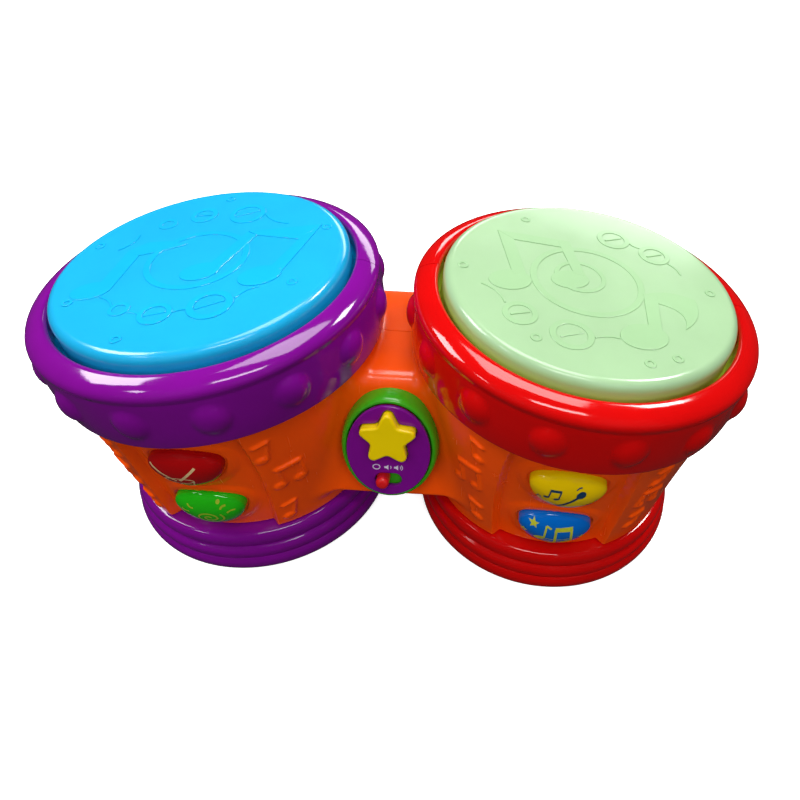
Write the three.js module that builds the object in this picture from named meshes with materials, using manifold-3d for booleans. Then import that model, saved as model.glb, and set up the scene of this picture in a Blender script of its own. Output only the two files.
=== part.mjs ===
// Toy electronic bongo drum pad: two splayed drums joined by a bridge that carries a control pod.
// Millimetres, +Z up, +X to the right and -Y towards the player. The floor is Z = 0.
import * as THREE from 'three';
import { mergeVertices } from 'three/addons/utils/BufferGeometryUtils.js';
import Module from 'manifold-3d';

const wasm = await Module();
wasm.setup();

// ---------------------------------------------------------------- driving dimensions
const GAP = 0.3;            // clearance between parts that touch
const WALL = 2.2;           // moulded wall thickness
const DRUM_X = 74.6;        // drum axis from the centre plane, at the floor
const SPLAY = THREE.MathUtils.degToRad(5.8);  // outward tilt reached at BEND_TOP
const BEND_TOP = 100;       // height along the drum axis where the tilt stops growing
const SEAM_Y = 5;           // plane between the front and rear mouldings
const BODY_LOW = 24.7;      // bottom edge of the orange body, along the drum axis
const BODY_SHOULDER = 97.4; // where the rim's lower edge sits
const RECESS = 4.5;         // depth of the drum's front panel recess
const HEAD_TRAVEL = 2.0;    // how far a drum head can be pressed
const BUTTON_TRAVEL = 1.5;  // how far a push button can be pressed
const BRIDGE = { top: 97.5, low: 37, back: 37, halfX: 29 };
const POD = {
  y: -43.3,
  z: 69.5,
  lean: THREE.MathUtils.degToRad(15),
  a: 18.4,
  b: 23.0,
  depth: 8.6,
};
const SIDES = [
  { name: 'left', s: -1, panel: -93, bump: -97.5 },
  { name: 'right', s: 1, panel: -91, bump: -79 },
];
const UPPER_H = 75.5;       // height of the upper button on its drum
const LOWER_H = 43.5;       // height of the lower button on its drum

// ---------------------------------------------------------------- colours
const paint = (color, roughness = 0.3, metalness = 0) => ({ color, roughness, metalness });
const ORANGE = paint('#e8590c');
const PURPLE = paint('#7a1fb0', 0.2);
const RED = paint('#d8120c', 0.2);
const BLUE = paint('#27b7ee', 0.3);
const MINT = paint('#b9e8b0', 0.3);
const LIME = paint('#2fae1e', 0.3);
const YELLOW = paint('#e6c200', 0.3);
const GREEN = paint('#17b52a', 0.25);
const SKY = paint('#0a6fd0', 0.25);
const WHITE = paint('#e4e2da', 0.6);
const BOARD = paint('#1f6b3a', 0.5);
const BLACK = paint('#1a1a1c', 0.5);
const STEEL = paint('#b8bcc0', 0.35, 0.9);
const FOAM = paint('#3a3a3c', 0.95);

// ---------------------------------------------------------------- solids
function solid(geometry) {
  let g = geometry.clone();
  g.deleteAttribute('normal');
  g.deleteAttribute('uv');
  g = mergeVertices(g, 1e-4);
  const mesh = new wasm.Mesh({
    numProp: 3,
    vertProperties: new Float32Array(g.attributes.position.array),
    triVerts: new Uint32Array(g.index.array),
  });
  mesh.merge();
  return new wasm.Manifold(mesh);
}

function toGeometry(manifold) {
  const mesh = manifold.getMesh();
  const g = new THREE.BufferGeometry();
  g.setAttribute('position', new THREE.BufferAttribute(new Float32Array(mesh.vertProperties), 3));
  g.setIndex(new THREE.BufferAttribute(new Uint32Array(mesh.triVerts), 1));
  g.computeVertexNormals();
  return g;
}

const union = (parts) => parts.reduce((a, b) => a.add(b));

function box(x, y, z, at) {
  return solid(new THREE.BoxGeometry(x, y, z).translate(at[0], at[1], at[2]));
}

function boxSpan(lo, hi) {
  const size = lo.map((v, i) => hi[i] - v);
  const mid = lo.map((v, i) => (hi[i] + v) / 2);
  return box(size[0], size[1], size[2], mid);
}

// a cylinder between two heights in its own frame, before any placing
function rod(r, low, high, x = 0, y = 0, segments = 16) {
  const g = new THREE.CylinderGeometry(r, r, high - low, segments);
  g.rotateX(Math.PI / 2);
  g.translate(x, y, (low + high) / 2);
  return g;
}

// a round section given as [radius, height] pairs, turned about Z
function turned(profile, segments = 32) {
  const points = profile.map(([r, h]) => new THREE.Vector2(r, h));
  points.push(points[0].clone());
  const g = new THREE.LatheGeometry(points, segments);
  g.rotateX(Math.PI / 2);
  return facesOut(g);
}

// reverse a geometry's triangles if its volume comes out negative
function facesOut(geometry) {
  const g = geometry.index ? geometry : mergeVertices(geometry, 1e-4);
  const p = g.attributes.position;
  const index = g.index.array;
  const v = [0, 1, 2].map(() => new THREE.Vector3());
  let volume = 0;
  for (let i = 0; i < index.length; i += 3) {
    v.forEach((q, k) => q.fromBufferAttribute(p, index[i + k]));
    volume += v[0].dot(v[1].clone().cross(v[2]));
  }
  if (volume < 0) {
    for (let i = 0; i < index.length; i += 3) {
      const t = index[i];
      index[i] = index[i + 1];
      index[i + 1] = t;
    }
  }
  return g;
}

// ---------------------------------------------------------------- drum frame
// A drum is drawn upright about its own axis and then bent outwards.
function drumPoint(s, x, y, h) {
  const k = Math.min(Math.max(h, 0), BEND_TOP) / BEND_TOP;
  const tilt = SPLAY * k;
  const arc = BEND_TOP / SPLAY;
  const over = Math.max(h - BEND_TOP, 0);
  const cx = DRUM_X + arc * (1 - Math.cos(tilt)) + over * Math.sin(tilt);
  const cz = arc * Math.sin(tilt) + over * Math.cos(tilt) + Math.min(h, 0);
  return new THREE.Vector3(s * cx + x * Math.cos(tilt), y, cz - s * x * Math.sin(tilt));
}

function bend(geometry, s) {
  const g = geometry.clone();
  const p = g.attributes.position;
  for (let i = 0; i < p.count; i += 1) {
    const q = drumPoint(s, p.getX(i), p.getY(i), p.getZ(i));
    p.setXYZ(i, q.x, q.y, q.z);
  }
  return g;
}

const bent = (geometry, s) => solid(bend(geometry, s));

function bodyRadius(h) {
  return 58.8 + 11.1 * (h - 15) / 85;
}

function panelHalfWidth(h) {
  const k = (h - 45) / 51;
  return 24.9 - 3.6 * k * k;
}

// the drum's outer wall: side panels stand proud of a recessed front panel
function bodyWall(side, inset) {
  const levels = [BODY_LOW, 48, 73, BODY_SHOULDER];
  const angles = [-26, -24.6, -12.3, 0, 12.3, 24.6, 26];
  const rest = 17;
  for (let i = 1; i <= rest; i += 1) {
    angles.push(26 + (i * (360 - 52)) / (rest + 1));
  }
  const n = angles.length;
  const wall = levels.map((h) => new THREE.Vector2(bodyRadius(h) - inset, h));
  const low = new THREE.Vector2(0.001, BODY_LOW);
  const top = new THREE.Vector2(0.001, BODY_SHOULDER);
  const g = new THREE.LatheGeometry([low, ...wall, top], n);
  g.rotateX(Math.PI / 2);
  shapeWall(g, n, angles, side, inset);
  return facesOut(mergeVertices(stripped(g), 0.01));
}

function stripped(geometry) {
  geometry.deleteAttribute('normal');
  geometry.deleteAttribute('uv');
  return geometry;
}

function shapeWall(g, n, angles, side, inset) {
  const p = g.attributes.position;
  const perTurn = p.count / (n + 1);
  for (let i = 0; i < p.count; i += 1) {
    const turn = Math.floor(i / perTurn) % n;
    const h = p.getZ(i);
    let offset = angles[turn];
    const scale = panelHalfWidth(h) / 24.9;
    if (Math.abs(offset) <= 26) {
      offset *= scale;
    }
    const theta = THREE.MathUtils.degToRad(side.panel + offset);
    let r = Math.hypot(p.getX(i), p.getY(i));
    if (r > 1 && Math.abs(angles[turn]) < 25) {
      r = bodyRadius(h) - RECESS - inset;
    }
    p.setXYZ(i, r * Math.cos(theta), r * Math.sin(theta), h);
  }
}

// ---------------------------------------------------------------- placing on the front panel and pod
function frameMatrix(origin, u, v) {
  const n = u.clone().cross(v).normalize();
  return new THREE.Matrix4().makeBasis(u, v, n).setPosition(origin);
}

// plane that touches the recessed panel at height h: u to the right, v up, n outwards
function panelFrame(side, h, shift = 0) {
  const at = (angle, height) => {
    const t = THREE.MathUtils.degToRad(angle);
    const r = bodyRadius(height) - RECESS;
    return drumPoint(side.s, r * Math.cos(t), r * Math.sin(t), height);
  };
  const v = at(side.panel, h + 10).sub(at(side.panel, h - 10)).normalize();
  const across = at(side.panel + 3, h).sub(at(side.panel - 3, h)).normalize();
  const n = across.clone().cross(v).normalize();
  const u = v.clone().cross(n).normalize();
  const origin = at(side.panel, h).addScaledVector(n, shift);
  return frameMatrix(origin, u, v);
}

function podFrame() {
  const u = new THREE.Vector3(1, 0, 0);
  const v = new THREE.Vector3(0, Math.sin(POD.lean), Math.cos(POD.lean));
  return frameMatrix(new THREE.Vector3(0, POD.y, POD.z), u, v);
}

const placed = (geometry, matrix) => solid(facesOut(geometry.clone().applyMatrix4(matrix)));

// ---------------------------------------------------------------- flat outlines
// rounded guitar-pick outline of a push button, grown by `grow`
function pickShape(grow, steps = 14) {
  const pts = [
    [-15.2, 2.5], [-12.6, 9.4], [0, 11.9], [12.6, 9.4],
    [15.2, 2.5], [9.6, -8.2], [0, -13.4], [-9.6, -8.2],
  ];
  const curve = new THREE.CatmullRomCurve3(
    pts.map(([x, y]) => new THREE.Vector3(x, y, 0)),
    true,
  );
  return grownShape(curve.getPoints(steps).slice(0, -1), grow);
}

// rounded five-pointed star outline
function starShape(radius, grow) {
  const pts = [];
  for (let i = 0; i < 5; i += 1) {
    const tip = Math.PI / 2 + (i * 2 * Math.PI) / 5;
    for (const d of [-0.16, 0.16]) {
      const r = radius * 0.95;
      pts.push(new THREE.Vector3(r * Math.cos(tip + d), r * Math.sin(tip + d), 0));
    }
    const notch = tip + Math.PI / 5;
    pts.push(new THREE.Vector3(radius * 0.55 * Math.cos(notch), radius * 0.55 * Math.sin(notch), 0));
  }
  return grownShape(pts, grow);
}

function ellipseShape(a, b, steps = 32) {
  const pts = [];
  for (let i = 0; i < steps; i += 1) {
    const t = (i * 2 * Math.PI) / steps;
    pts.push(new THREE.Vector2(a * Math.cos(t), b * Math.sin(t)));
  }
  return new THREE.Shape(pts);
}

function slotShape(length, width) {
  const r = width / 2;
  const pts = [];
  for (let i = 0; i <= 6; i += 1) {
    const t = -Math.PI / 2 + (i * Math.PI) / 6;
    pts.push(new THREE.Vector2(length / 2 - r + r * Math.cos(t), r * Math.sin(t)));
  }
  for (let i = 0; i <= 6; i += 1) {
    const t = Math.PI / 2 + (i * Math.PI) / 6;
    pts.push(new THREE.Vector2(-length / 2 + r + r * Math.cos(t), r * Math.sin(t)));
  }
  return new THREE.Shape(pts);
}

// offset a closed outline outwards by moving each point along its corner's bisector
function grownShape(points, grow) {
  const n = points.length;
  const area = points.reduce((a, p, i) => {
    const q = points[(i + 1) % n];
    return a + p.x * q.y - q.x * p.y;
  }, 0);
  const turn = area > 0 ? 1 : -1;
  const out = points.map((p, i) => {
    const a = points[(i + n - 1) % n];
    const b = points[(i + 1) % n];
    const e1 = new THREE.Vector2(p.x - a.x, p.y - a.y).normalize();
    const e2 = new THREE.Vector2(b.x - p.x, b.y - p.y).normalize();
    const m = new THREE.Vector2(e1.y + e2.y, -e1.x - e2.x).multiplyScalar(turn);
    const len = 1 + e1.dot(e2);
    return new THREE.Vector2(p.x + (m.x / len) * grow, p.y + (m.y / len) * grow);
  });
  return new THREE.Shape(out);
}

function slab(shape, low, high) {
  const g = new THREE.ExtrudeGeometry(shape, { depth: high - low, bevelEnabled: false, steps: 1 });
  return g.translate(0, 0, low);
}

// a slab whose front edge is rounded over by `round`
function domed(shape, low, high, round, inset, segments = 2) {
  const g = new THREE.ExtrudeGeometry(shape, {
    depth: high - low - round,
    bevelEnabled: true,
    bevelThickness: round,
    bevelSize: inset,
    bevelOffset: -inset,
    bevelSegments: segments,
    steps: 1,
  });
  return g.translate(0, 0, low);
}

// ---------------------------------------------------------------- parts
const group = new THREE.Group();
group.name = 'electronic_bongo_drum_pad';

function add(name, manifold, look) {
  const material = new THREE.MeshStandardMaterial(look);
  const mesh = new THREE.Mesh(toGeometry(manifold.simplify(0.02)), material);
  mesh.name = name;
  group.add(mesh);
}

const cutFar = (keepFront, y) => (keepFront
  ? boxSpan([-200, y, -50], [200, 200, 250])
  : boxSpan([-200, -200, -50], [200, y, 250]));

function half(manifold, keepFront, y = SEAM_Y) {
  return manifold.subtract(cutFar(keepFront, keepFront ? y - GAP / 2 : y + GAP / 2));
}

function bridgeSolid(inset) {
  const slope = Math.tan(POD.lean);
  const front = POD.y + (POD.depth + inset) / Math.cos(POD.lean);
  const frontAt = (z) => front + (z - POD.z) * slope;
  const top = BRIDGE.top - inset;
  const low = BRIDGE.low + inset;
  const back = BRIDGE.back - inset;
  const pts = [
    [back, low], [back, top - 1.5], [back - 1.5, top],
    [frontAt(top) + 4, top], [frontAt(top - 1.6) + 1.2, top - 1], [frontAt(top - 4), top - 4],
    [frontAt(low), low],
  ];
  const shape = new THREE.Shape(pts.map(([y, z]) => new THREE.Vector2(y, z)));
  const g = new THREE.ExtrudeGeometry(shape, {
    depth: 2 * BRIDGE.halfX,
    bevelEnabled: false,
    steps: 1,
  });
  // shape x is Y, shape y is Z, depth becomes X
  const m = new THREE.Matrix4().makeBasis(
    new THREE.Vector3(0, 1, 0),
    new THREE.Vector3(0, 0, 1),
    new THREE.Vector3(1, 0, 0),
  );
  g.applyMatrix4(m);
  g.translate(-BRIDGE.halfX, 0, 0);
  return solid(facesOut(g));
}

// hollow orange housing of both drums and the bridge, before it is split at the seam
function housing() {
  const outer = union([bridgeSolid(0), ...SIDES.map((side) => bent(bodyWall(side, 0), side.s))]);
  const neckOut = SIDES.map((side) => bent(turned(neckProfile(68.2), 26), side.s));
  const inner = union([bridgeSolid(WALL), ...SIDES.map((side) => bent(cavity(side), side.s))]);
  return union([outer, ...neckOut]).subtract(inner);
}

const neckProfile = (r) => [[0.01, BODY_SHOULDER - 6], [r, BODY_SHOULDER - 6], [r, 110], [0.01, 110]];

// the hollow inside one drum, open at the bottom and at the neck
function cavity(side) {
  const g = bodyWall(side, WALL);
  const p = g.attributes.position;
  for (let i = 0; i < p.count; i += 1) {
    const h = p.getZ(i);
    if (h < BODY_LOW + 0.1) {
      p.setZ(i, BODY_LOW - 2);
    }
    if (h > BODY_SHOULDER - 0.1) {
      const r = Math.hypot(p.getX(i), p.getY(i));
      const k = r > 1 ? 66.0 / r : 1;
      p.setXYZ(i, p.getX(i) * k, p.getY(i) * k, 112);
    }
  }
  return g;
}

const COLUMNS = [[-1, 50], [1, -50], [-1, -50], [1, 50]].map(([s, x]) => ({ s, x, h: 60 }));
const columnAt = (c) => drumPoint(c.s, c.x, 0, c.h);
// each base hangs from one post in the front moulding and one in the rear
const POSTS = SIDES.flatMap((side) => [-90 + 45 * side.s, 90].map((angle) => {
  const t = THREE.MathUtils.degToRad(angle);
  return { side, t, x: 47 * Math.cos(t), y: 47 * Math.sin(t) };
}));

function columnRod(c, r, y0, y1, segments = 8) {
  const at = columnAt(c);
  const g = new THREE.CylinderGeometry(r, r, y1 - y0, segments);
  g.translate(at.x, (y0 + y1) / 2, at.z);
  return solid(g);
}

function buildHousing() {
  let shell = housing();
  const outline = union([bridgeSolid(0.5), ...SIDES.map((side) => bent(bodyWall(side, 0.5), side.s))]);
  const columns = union(COLUMNS.map((c) => columnRod(c, 4, -60, 60)));
  shell = shell.add(columns.intersect(outline));
  shell = shell.add(basePosts());
  shell = shell.subtract(union(COLUMNS.map((c) => columnRod(c, 1.6, -20, 60))));
  shell = shell.subtract(union(COLUMNS.map((c) => columnRod(c, 3.6, 22, 80))));
  shell = shell.subtract(union(POSTS.map((p) => bent(rod(1.6, 0, 26, p.x, p.y, 6), p.side.s))));
  shell = addButtonSurrounds(shell);
  shell = shell.subtract(podOpening());
  shell = batteryBay(shell);
  add('body_front', half(shell, true), ORANGE);
  add('body_rear', half(shell, false), ORANGE);
}

// screw posts that carry the bases, each tied to the wall by a rib
function basePosts() {
  const parts = POSTS.map((p) => {
    const post = bent(rod(4, 6.4, 36, p.x, p.y, 8), p.side.s);
    const rib = new THREE.BoxGeometry(12.4, 2.4, 10).translate(53.2, 0, 31).rotateZ(p.t);
    return post.add(bent(rib, p.side.s));
  });
  return union(parts);
}

// raised frames round the push buttons, and the holes the buttons move in
function addButtonSurrounds(shell) {
  let out = shell;
  for (const side of SIDES) {
    for (const h of [UPPER_H, LOWER_H]) {
      const m = panelFrame(side, h);
      out = out.add(placed(slab(pickShape(2.6), -3.4, 1.2), m));
      out = out.subtract(placed(slab(pickShape(GAP + 0.1), -12, 8), m));
    }
  }
  return out;
}

function podOpening() {
  return placed(slab(ellipseShape(14.5, 19, 24), -14, -5), podFrame());
}

// battery pocket in the back of the bridge, with a ledge for its door
const BAY = { x: 17.0, y0: 23.2, z0: 40.2, z1: 88.2 };
const DOOR = { x: 18.6, z0: 38.8, z1: 95.2, thick: 2 };

function batteryBay(shell) {
  const back = BRIDGE.back;
  const walls = boxSpan(
    [-BAY.x - 1.6, BAY.y0 - 1.6, BRIDGE.low + 0.5],
    [BAY.x + 1.6, back - 0.5, BAY.z1 + 1.6],
  );
  const hollow = boxSpan([-BAY.x, BAY.y0, BAY.z0], [BAY.x, back + 2, BAY.z1]);
  const ledge = boxSpan(
    [-DOOR.x - GAP, back - DOOR.thick - GAP, DOOR.z0 - GAP],
    [DOOR.x + GAP, back + 2, DOOR.z1 + GAP],
  );
  const frame = boxSpan(
    [-DOOR.x - 2, back - 4.4, BRIDGE.low + 0.5],
    [DOOR.x + 2, back - 0.5, BRIDGE.top - 0.5],
  );
  const boss = boxSpan([-4, back - 12, BAY.z1], [4, back - 1, BRIDGE.top - 0.5]);
  let out = shell.add(walls).add(frame).add(boss).subtract(hollow).subtract(ledge);
  const hole = new THREE.CylinderGeometry(1.5, 1.5, 12, 10).translate(0, back - 6, 91.8);
  out = out.subtract(solid(hole));
  return out;
}

function buildBattery() {
  const back = BRIDGE.back;
  for (let i = 0; i < 3; i += 1) {
    const x = (i - 1) * 11;
    const g = rod(5.2, BAY.z0 + 1.9, BAY.z0 + 45.6, x, BAY.y0 + 5.8, 16);
    const nub = rod(1.9, BAY.z0 + 45, BAY.z0 + 46.4, x, BAY.y0 + 5.8, 8);
    add(`battery_${i + 1}`, solid(g).add(solid(nub)), paint('#c9a227', 0.4, 0.3));
  }
  const plate = (z) => boxSpan([-16.4, BAY.y0 + 1.5, z], [16.4, BAY.y0 + 10.5, z + 0.7]);
  add('battery_contact_low', plate(BAY.z0 + 0.4), STEEL);
  add('battery_contact_top', plate(BAY.z1 - 1.1), STEEL);
  let door = boxSpan([-DOOR.x, back - DOOR.thick, DOOR.z0], [DOOR.x, back, DOOR.z1]);
  for (let i = 0; i < 4; i += 1) {
    const z = 50 + i * 5;
    door = door.add(boxSpan([-9, back - 0.4, z], [9, back + 0.6, z + 1.6]));
  }
  const well = new THREE.CylinderGeometry(1.7, 1.7, 8, 10).translate(0, back, 91.8);
  add('battery_door', door.subtract(solid(well)), ORANGE);
  const shank = new THREE.CylinderGeometry(1.2, 1.2, 9, 10).translate(0, back - 4, 91.8);
  const cap = new THREE.CylinderGeometry(2.8, 2.8, 1.2, 16).translate(0, back + GAP + 0.6, 91.8);
  add('battery_door_screw', solid(shank).add(solid(cap)), STEEL);
}

// ---------------------------------------------------------------- drums
const RIM = [
  [73.0, 97.9], [74.2, 109], [74.2, 120.2], [73.8, 121.8], [74.7, 123.2], [73.9, 125.6],
  [71.2, 128.4], [67.3, 129.9], [65.3, 129.4], [64.7, 128.4], [64.7, 121.6], [66.6, 121.6],
  [67.0, 127.0], [71.4, 123.4], [71.0, 100.1], [68.8, 99.7], [68.8, 97.9],
];
const HEAD = [
  [0.01, 135.4], [59.3, 135.4], [61.7, 134.6], [62.9, 132.2], [62.9, 121.2],
  [66.2, 121.2], [66.2, 119.0], [60.7, 119.0], [60.7, 131.8], [59.4, 133.1], [0.01, 133.1],
];
const BASE = [
  [0.01, 1.2], [59.4, 1.2], [60.0, 0], [63.0, 0], [64.9, 3.2], [65.4, 7.6], [64.7, 13.4],
  [62.3, 17.4], [63.3, 20.4], [62.5, 23.4], [61.0, 24.4], [53.0, 24.4], [53.0, 22.4],
  [60.4, 22.0], [60.2, 17.4], [62.7, 8], [61.6, 3.4], [0.01, 3.4],
];

function buildRim(side, colour) {
  let rim = bent(turned(RIM, 28), side.s);
  const bump = new THREE.SphereGeometry(10.2, 6, 2, 0, 2 * Math.PI, 0, 0.95);
  const cap = capped(bump, 10.2 * Math.cos(0.95));
  const bumps = [];
  for (let i = 0; i < 15; i += 1) {
    const theta = THREE.MathUtils.degToRad(side.bump + i * 24);
    const g = cap.clone().rotateZ(-Math.PI / 2);
    g.translate(74.2 - 10.2 + 2.2, 0, 112.6);
    g.rotateZ(theta);
    bumps.push(bent(facesOut(g), side.s));
  }
  rim = union([rim, ...bumps]);
  add(`rim_${side.name}_front`, half(rim, true), colour);
  add(`rim_${side.name}_rear`, half(rim, false), colour);
}

// close an open spherical cap with a flat disc at height y
function capped(geometry, y) {
  const g = mergeVertices(stripped(geometry.clone()), 1e-4);
  const p = g.attributes.position;
  const ring = [];
  for (let i = 0; i < p.count; i += 1) {
    if (Math.abs(p.getY(i) - y) < 1e-3) {
      ring.push(i);
    }
  }
  ring.sort((a, b) => Math.atan2(p.getZ(a), p.getX(a)) - Math.atan2(p.getZ(b), p.getX(b)));
  const index = [...g.index.array];
  for (let i = 1; i + 1 < ring.length; i += 1) {
    index.push(ring[0], ring[i], ring[i + 1]);
  }
  g.setIndex(index);
  return g;
}

function buildDrum(side, rimColour, headColour) {
  buildRim(side, rimColour);
  const plunger = bent(rod(4, 118.6, 133.6, 0, 0, 14), side.s);
  add(`head_${side.name}`, bent(turned(HEAD, 28), side.s).add(plunger), headColour);
  buildBase(side, rimColour);
  const deck = [[0.01, 110.3], [68.0, 110.3], [68.0, 112.3], [0.01, 112.3]];
  add(`deck_${side.name}`, bent(turned(deck, 28), side.s), WHITE);
  const boardBase = bent(rod(17, 112.6, 114.2, 0, 0, 24), side.s);
  const sensor = bent(rod(5.2, 114.2, 116.2, 0, 0, 16), side.s);
  add(`head_board_${side.name}`, boardBase.add(sensor), BOARD);
  const lamp = rod(2.5, 114.5, 117.4, 11.5, 0, 8);
  const lens = new THREE.SphereGeometry(2.45, 8, 6).translate(11.5, 0, 117.4);
  add(`led_${side.name}`, bent(lamp, side.s).add(bent(lens, side.s)), paint('#f4f6f8', 0.1));
  for (let i = 0; i < 3; i += 1) {
    const theta = THREE.MathUtils.degToRad(90 + i * 120);
    const g = new THREE.BoxGeometry(4, 12, 6.1).translate(63.6, 0, 115.65).rotateZ(theta);
    add(`head_foam_${side.name}_${i + 1}`, bent(g, side.s), FOAM);
  }
}

function buildBase(side, colour) {
  let base = bent(turned(BASE, 28), side.s);
  const posts = POSTS.filter((p) => p.side === side);
  for (const p of posts) {
    base = base.add(bent(rod(5.2, 1.2, 6.1, p.x, p.y, 8), side.s));
    base = base.subtract(bent(rod(3.5, -1, 4.3, p.x, p.y, 8), side.s));
    base = base.subtract(bent(rod(1.6, 0, 8, p.x, p.y, 6), side.s));
  }
  if (side.name === 'left') {
    for (let i = 0; i < 5; i += 1) {
      const y = (i - 2) * 7;
      const w = 2 * Math.sqrt(22 * 22 - y * y);
      base = base.subtract(bent(new THREE.BoxGeometry(w, 3, 6).translate(0, y, 2), side.s));
    }
  } else {
    for (const [x, y] of [[-24, -17], [24, -17], [-24, 17], [24, 17]]) {
      base = base.add(bent(rod(2.4, 3, 7.7, x, y, 8), side.s));
    }
  }
  add(`base_${side.name}`, base, colour);
  posts.forEach((p, i) => {
    const shank = bent(rod(1.2, 3, 15, p.x, p.y, 6), side.s);
    const head = bent(rod(3.0, 1.9, 4.0, p.x, p.y, 8), side.s);
    add(`base_screw_${side.name}_${i + 1}`, shank.add(head), STEEL);
  });
}

// ---------------------------------------------------------------- push buttons
function buildButtons() {
  const looks = {
    left: [['button_red', RED], ['button_green', GREEN]],
    right: [['button_yellow', YELLOW], ['button_blue', SKY]],
  };
  for (const side of SIDES) {
    [UPPER_H, LOWER_H].forEach((h, i) => {
      const m = panelFrame(side, h);
      const dome = placed(domed(pickShape(-GAP), -7.6, 5.6, 4.6, 5.4), m);
      const keep = placed(new THREE.BoxGeometry(60, 60, 20).translate(0, 0, 3), m);
      const flange = placed(slab(pickShape(1.6), -7.0, -5.6), m);
      const stem = placed(rod(2.6, -11.2, -6.5, 0, 0, 12), m);
      const [name, colour] = looks[side.name][i];
      add(name, dome.intersect(keep).add(flange).add(stem), colour);
    });
    const mid = panelFrame(side, (UPPER_H + LOWER_H) / 2);
    let board = placed(new THREE.BoxGeometry(26, 58, 1.6).translate(0, 0, -16.2), mid);
    for (const h of [UPPER_H, LOWER_H]) {
      const sensor = new THREE.BoxGeometry(6, 6, 2.6).translate(0, 0, -14.3);
      board = board.add(placed(sensor, panelFrame(side, h)));
    }
    add(`button_board_${side.name}`, board, BOARD);
  }
}

// ---------------------------------------------------------------- control pod
const STAR_V = 8;      // height of the star button on the control plate
const STAR_R = 13.4;   // star tip radius
const SLOT_V = -14.6;  // height of the slide switch slot
const KNOB_U = -2.4;   // slide knob's rest position along the slot

function buildPod() {
  const m = podFrame();
  const lift = (geometry, u, v) => placed(geometry.clone().translate(u, v, 0), m);
  const outer = placed(domed(ellipseShape(20.6, 26.0, 28), -8.3, -1.0, 3.6, 1.6, 2), m);
  const inner = placed(slab(ellipseShape(17.6, 22.4, 24), -16, -3.0), m);
  const lip = placed(slab(ellipseShape(17.0, 21.8, 24), -5, 2), m);
  const back = placed(new THREE.BoxGeometry(80, 80, 20).translate(0, 0, -18.3), m);
  add('pod_bezel', outer.subtract(back).subtract(inner).subtract(lip), LIME);
  let face = placed(domed(ellipseShape(POD.a, POD.b), -0.7, 1.6, 0.8, 0.8, 1), m);
  face = face.subtract(placed(new THREE.BoxGeometry(80, 80, 4).translate(0, 0, -2.7), m));
  face = face.subtract(lift(slab(starShape(STAR_R, GAP + 0.1), -6, 8), 0, STAR_V));
  face = face.subtract(lift(slab(slotShape(11.8, 6.6), -6, 8), 0, SLOT_V));
  add('pod_face', face, PURPLE);
  const cap = domed(starShape(STAR_R, 0), -2.6, 5.4, 1.2, 1.2, 2);
  const keep = lift(new THREE.BoxGeometry(60, 60, 20).translate(0, 0, 8.4), 0, STAR_V);
  const insideBezel = placed(slab(ellipseShape(16.4, 21.2, 24), -4, 4), m);
  const flange = lift(slab(starShape(STAR_R, 1.6), -2.2, -1.0), 0, STAR_V).intersect(insideBezel);
  const stem = lift(rod(2.4, -4.2, -1.6, 0, 0, 12), 0, STAR_V);
  add('star_button', lift(cap, 0, STAR_V).intersect(keep).add(flange).add(stem), YELLOW);
  const knob = lift(rod(2.95, -2.4, 5.6, KNOB_U, 0, 18), 0, SLOT_V);
  const tongue = lift(new THREE.BoxGeometry(3, 2.4, 3).translate(KNOB_U, 0, -3.2), 0, SLOT_V);
  const shoe = lift(new THREE.BoxGeometry(8, 8.4, 1.1).translate(KNOB_U, 0, -1.75), 0, SLOT_V);
  add('slide_knob', knob.add(tongue).add(shoe), RED);
  const plate = placed(slab(ellipseShape(13.6, 17.6, 24), -9.6, -8.0), m);
  const tact = lift(new THREE.BoxGeometry(6, 6, 2.0).translate(0, 0, -7.2), 0, STAR_V);
  add('pod_board', plate.add(tact), BOARD);
  let can = lift(new THREE.BoxGeometry(12, 4.4, 2.6).translate(0, 0, -6.3), 0, SLOT_V);
  can = can.subtract(lift(new THREE.BoxGeometry(8.6, 3.0, 2.4).translate(0, 0, -4.8), 0, SLOT_V));
  add('slide_switch', can, STEEL);
}

// ---------------------------------------------------------------- electronics
function buildSpeaker() {
  const s = -1;
  const frame = [
    [20, 3.7], [28.5, 3.7], [28.5, 5.6], [24, 10], [13.5, 14.5], [9, 14.5],
    [9, 13.3], [13, 13.3], [22.6, 8.8], [26, 5.4], [20, 5.4],
  ];
  add('speaker_frame', bent(turned(frame, 16), s), STEEL);
  const cone = [
    [0.01, 8.6], [5, 8.2], [10, 9.6], [19.6, 5.7], [24.6, 5.7],
    [24.6, 6.3], [19.9, 6.5], [10.2, 10.6], [0.01, 10.4],
  ];
  add('speaker_cone', bent(turned(cone, 16), s), BLACK);
  const magnet = [[0.01, 14.8], [16, 14.8], [16, 22.5], [0.01, 22.5]];
  add('speaker_magnet', bent(turned(magnet, 18), s), BLACK);
}

function buildMainBoard() {
  const at = (g) => bent(g, 1);
  let board = at(new THREE.BoxGeometry(58, 44, 1.6).translate(0, 0, 8.8));
  board = board.add(at(rod(6, 9.4, 11.6, -10, 2, 16)));
  board = board.add(at(rod(3.2, 9.4, 17.5, 14, 8, 12)));
  board = board.add(at(new THREE.BoxGeometry(10, 6, 4).translate(12, -10, 11)));
  add('main_board', board, BOARD);
}

function buildShellScrews() {
  COLUMNS.forEach((c, i) => {
    const shank = columnRod(c, 1.2, -12, 22.5, 6);
    const head = columnRod(c, 3.1, 22.4, 24.4, 8);
    add(`shell_screw_${i + 1}`, shank.add(head), STEEL);
  });
}

buildHousing();
buildDrum(SIDES[0], PURPLE, BLUE);
buildDrum(SIDES[1], RED, MINT);
buildButtons();
buildPod();
buildSpeaker();
buildMainBoard();
buildBattery();
buildShellScrews();

export default group;
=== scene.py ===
import math
from contextlib import contextmanager

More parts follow.
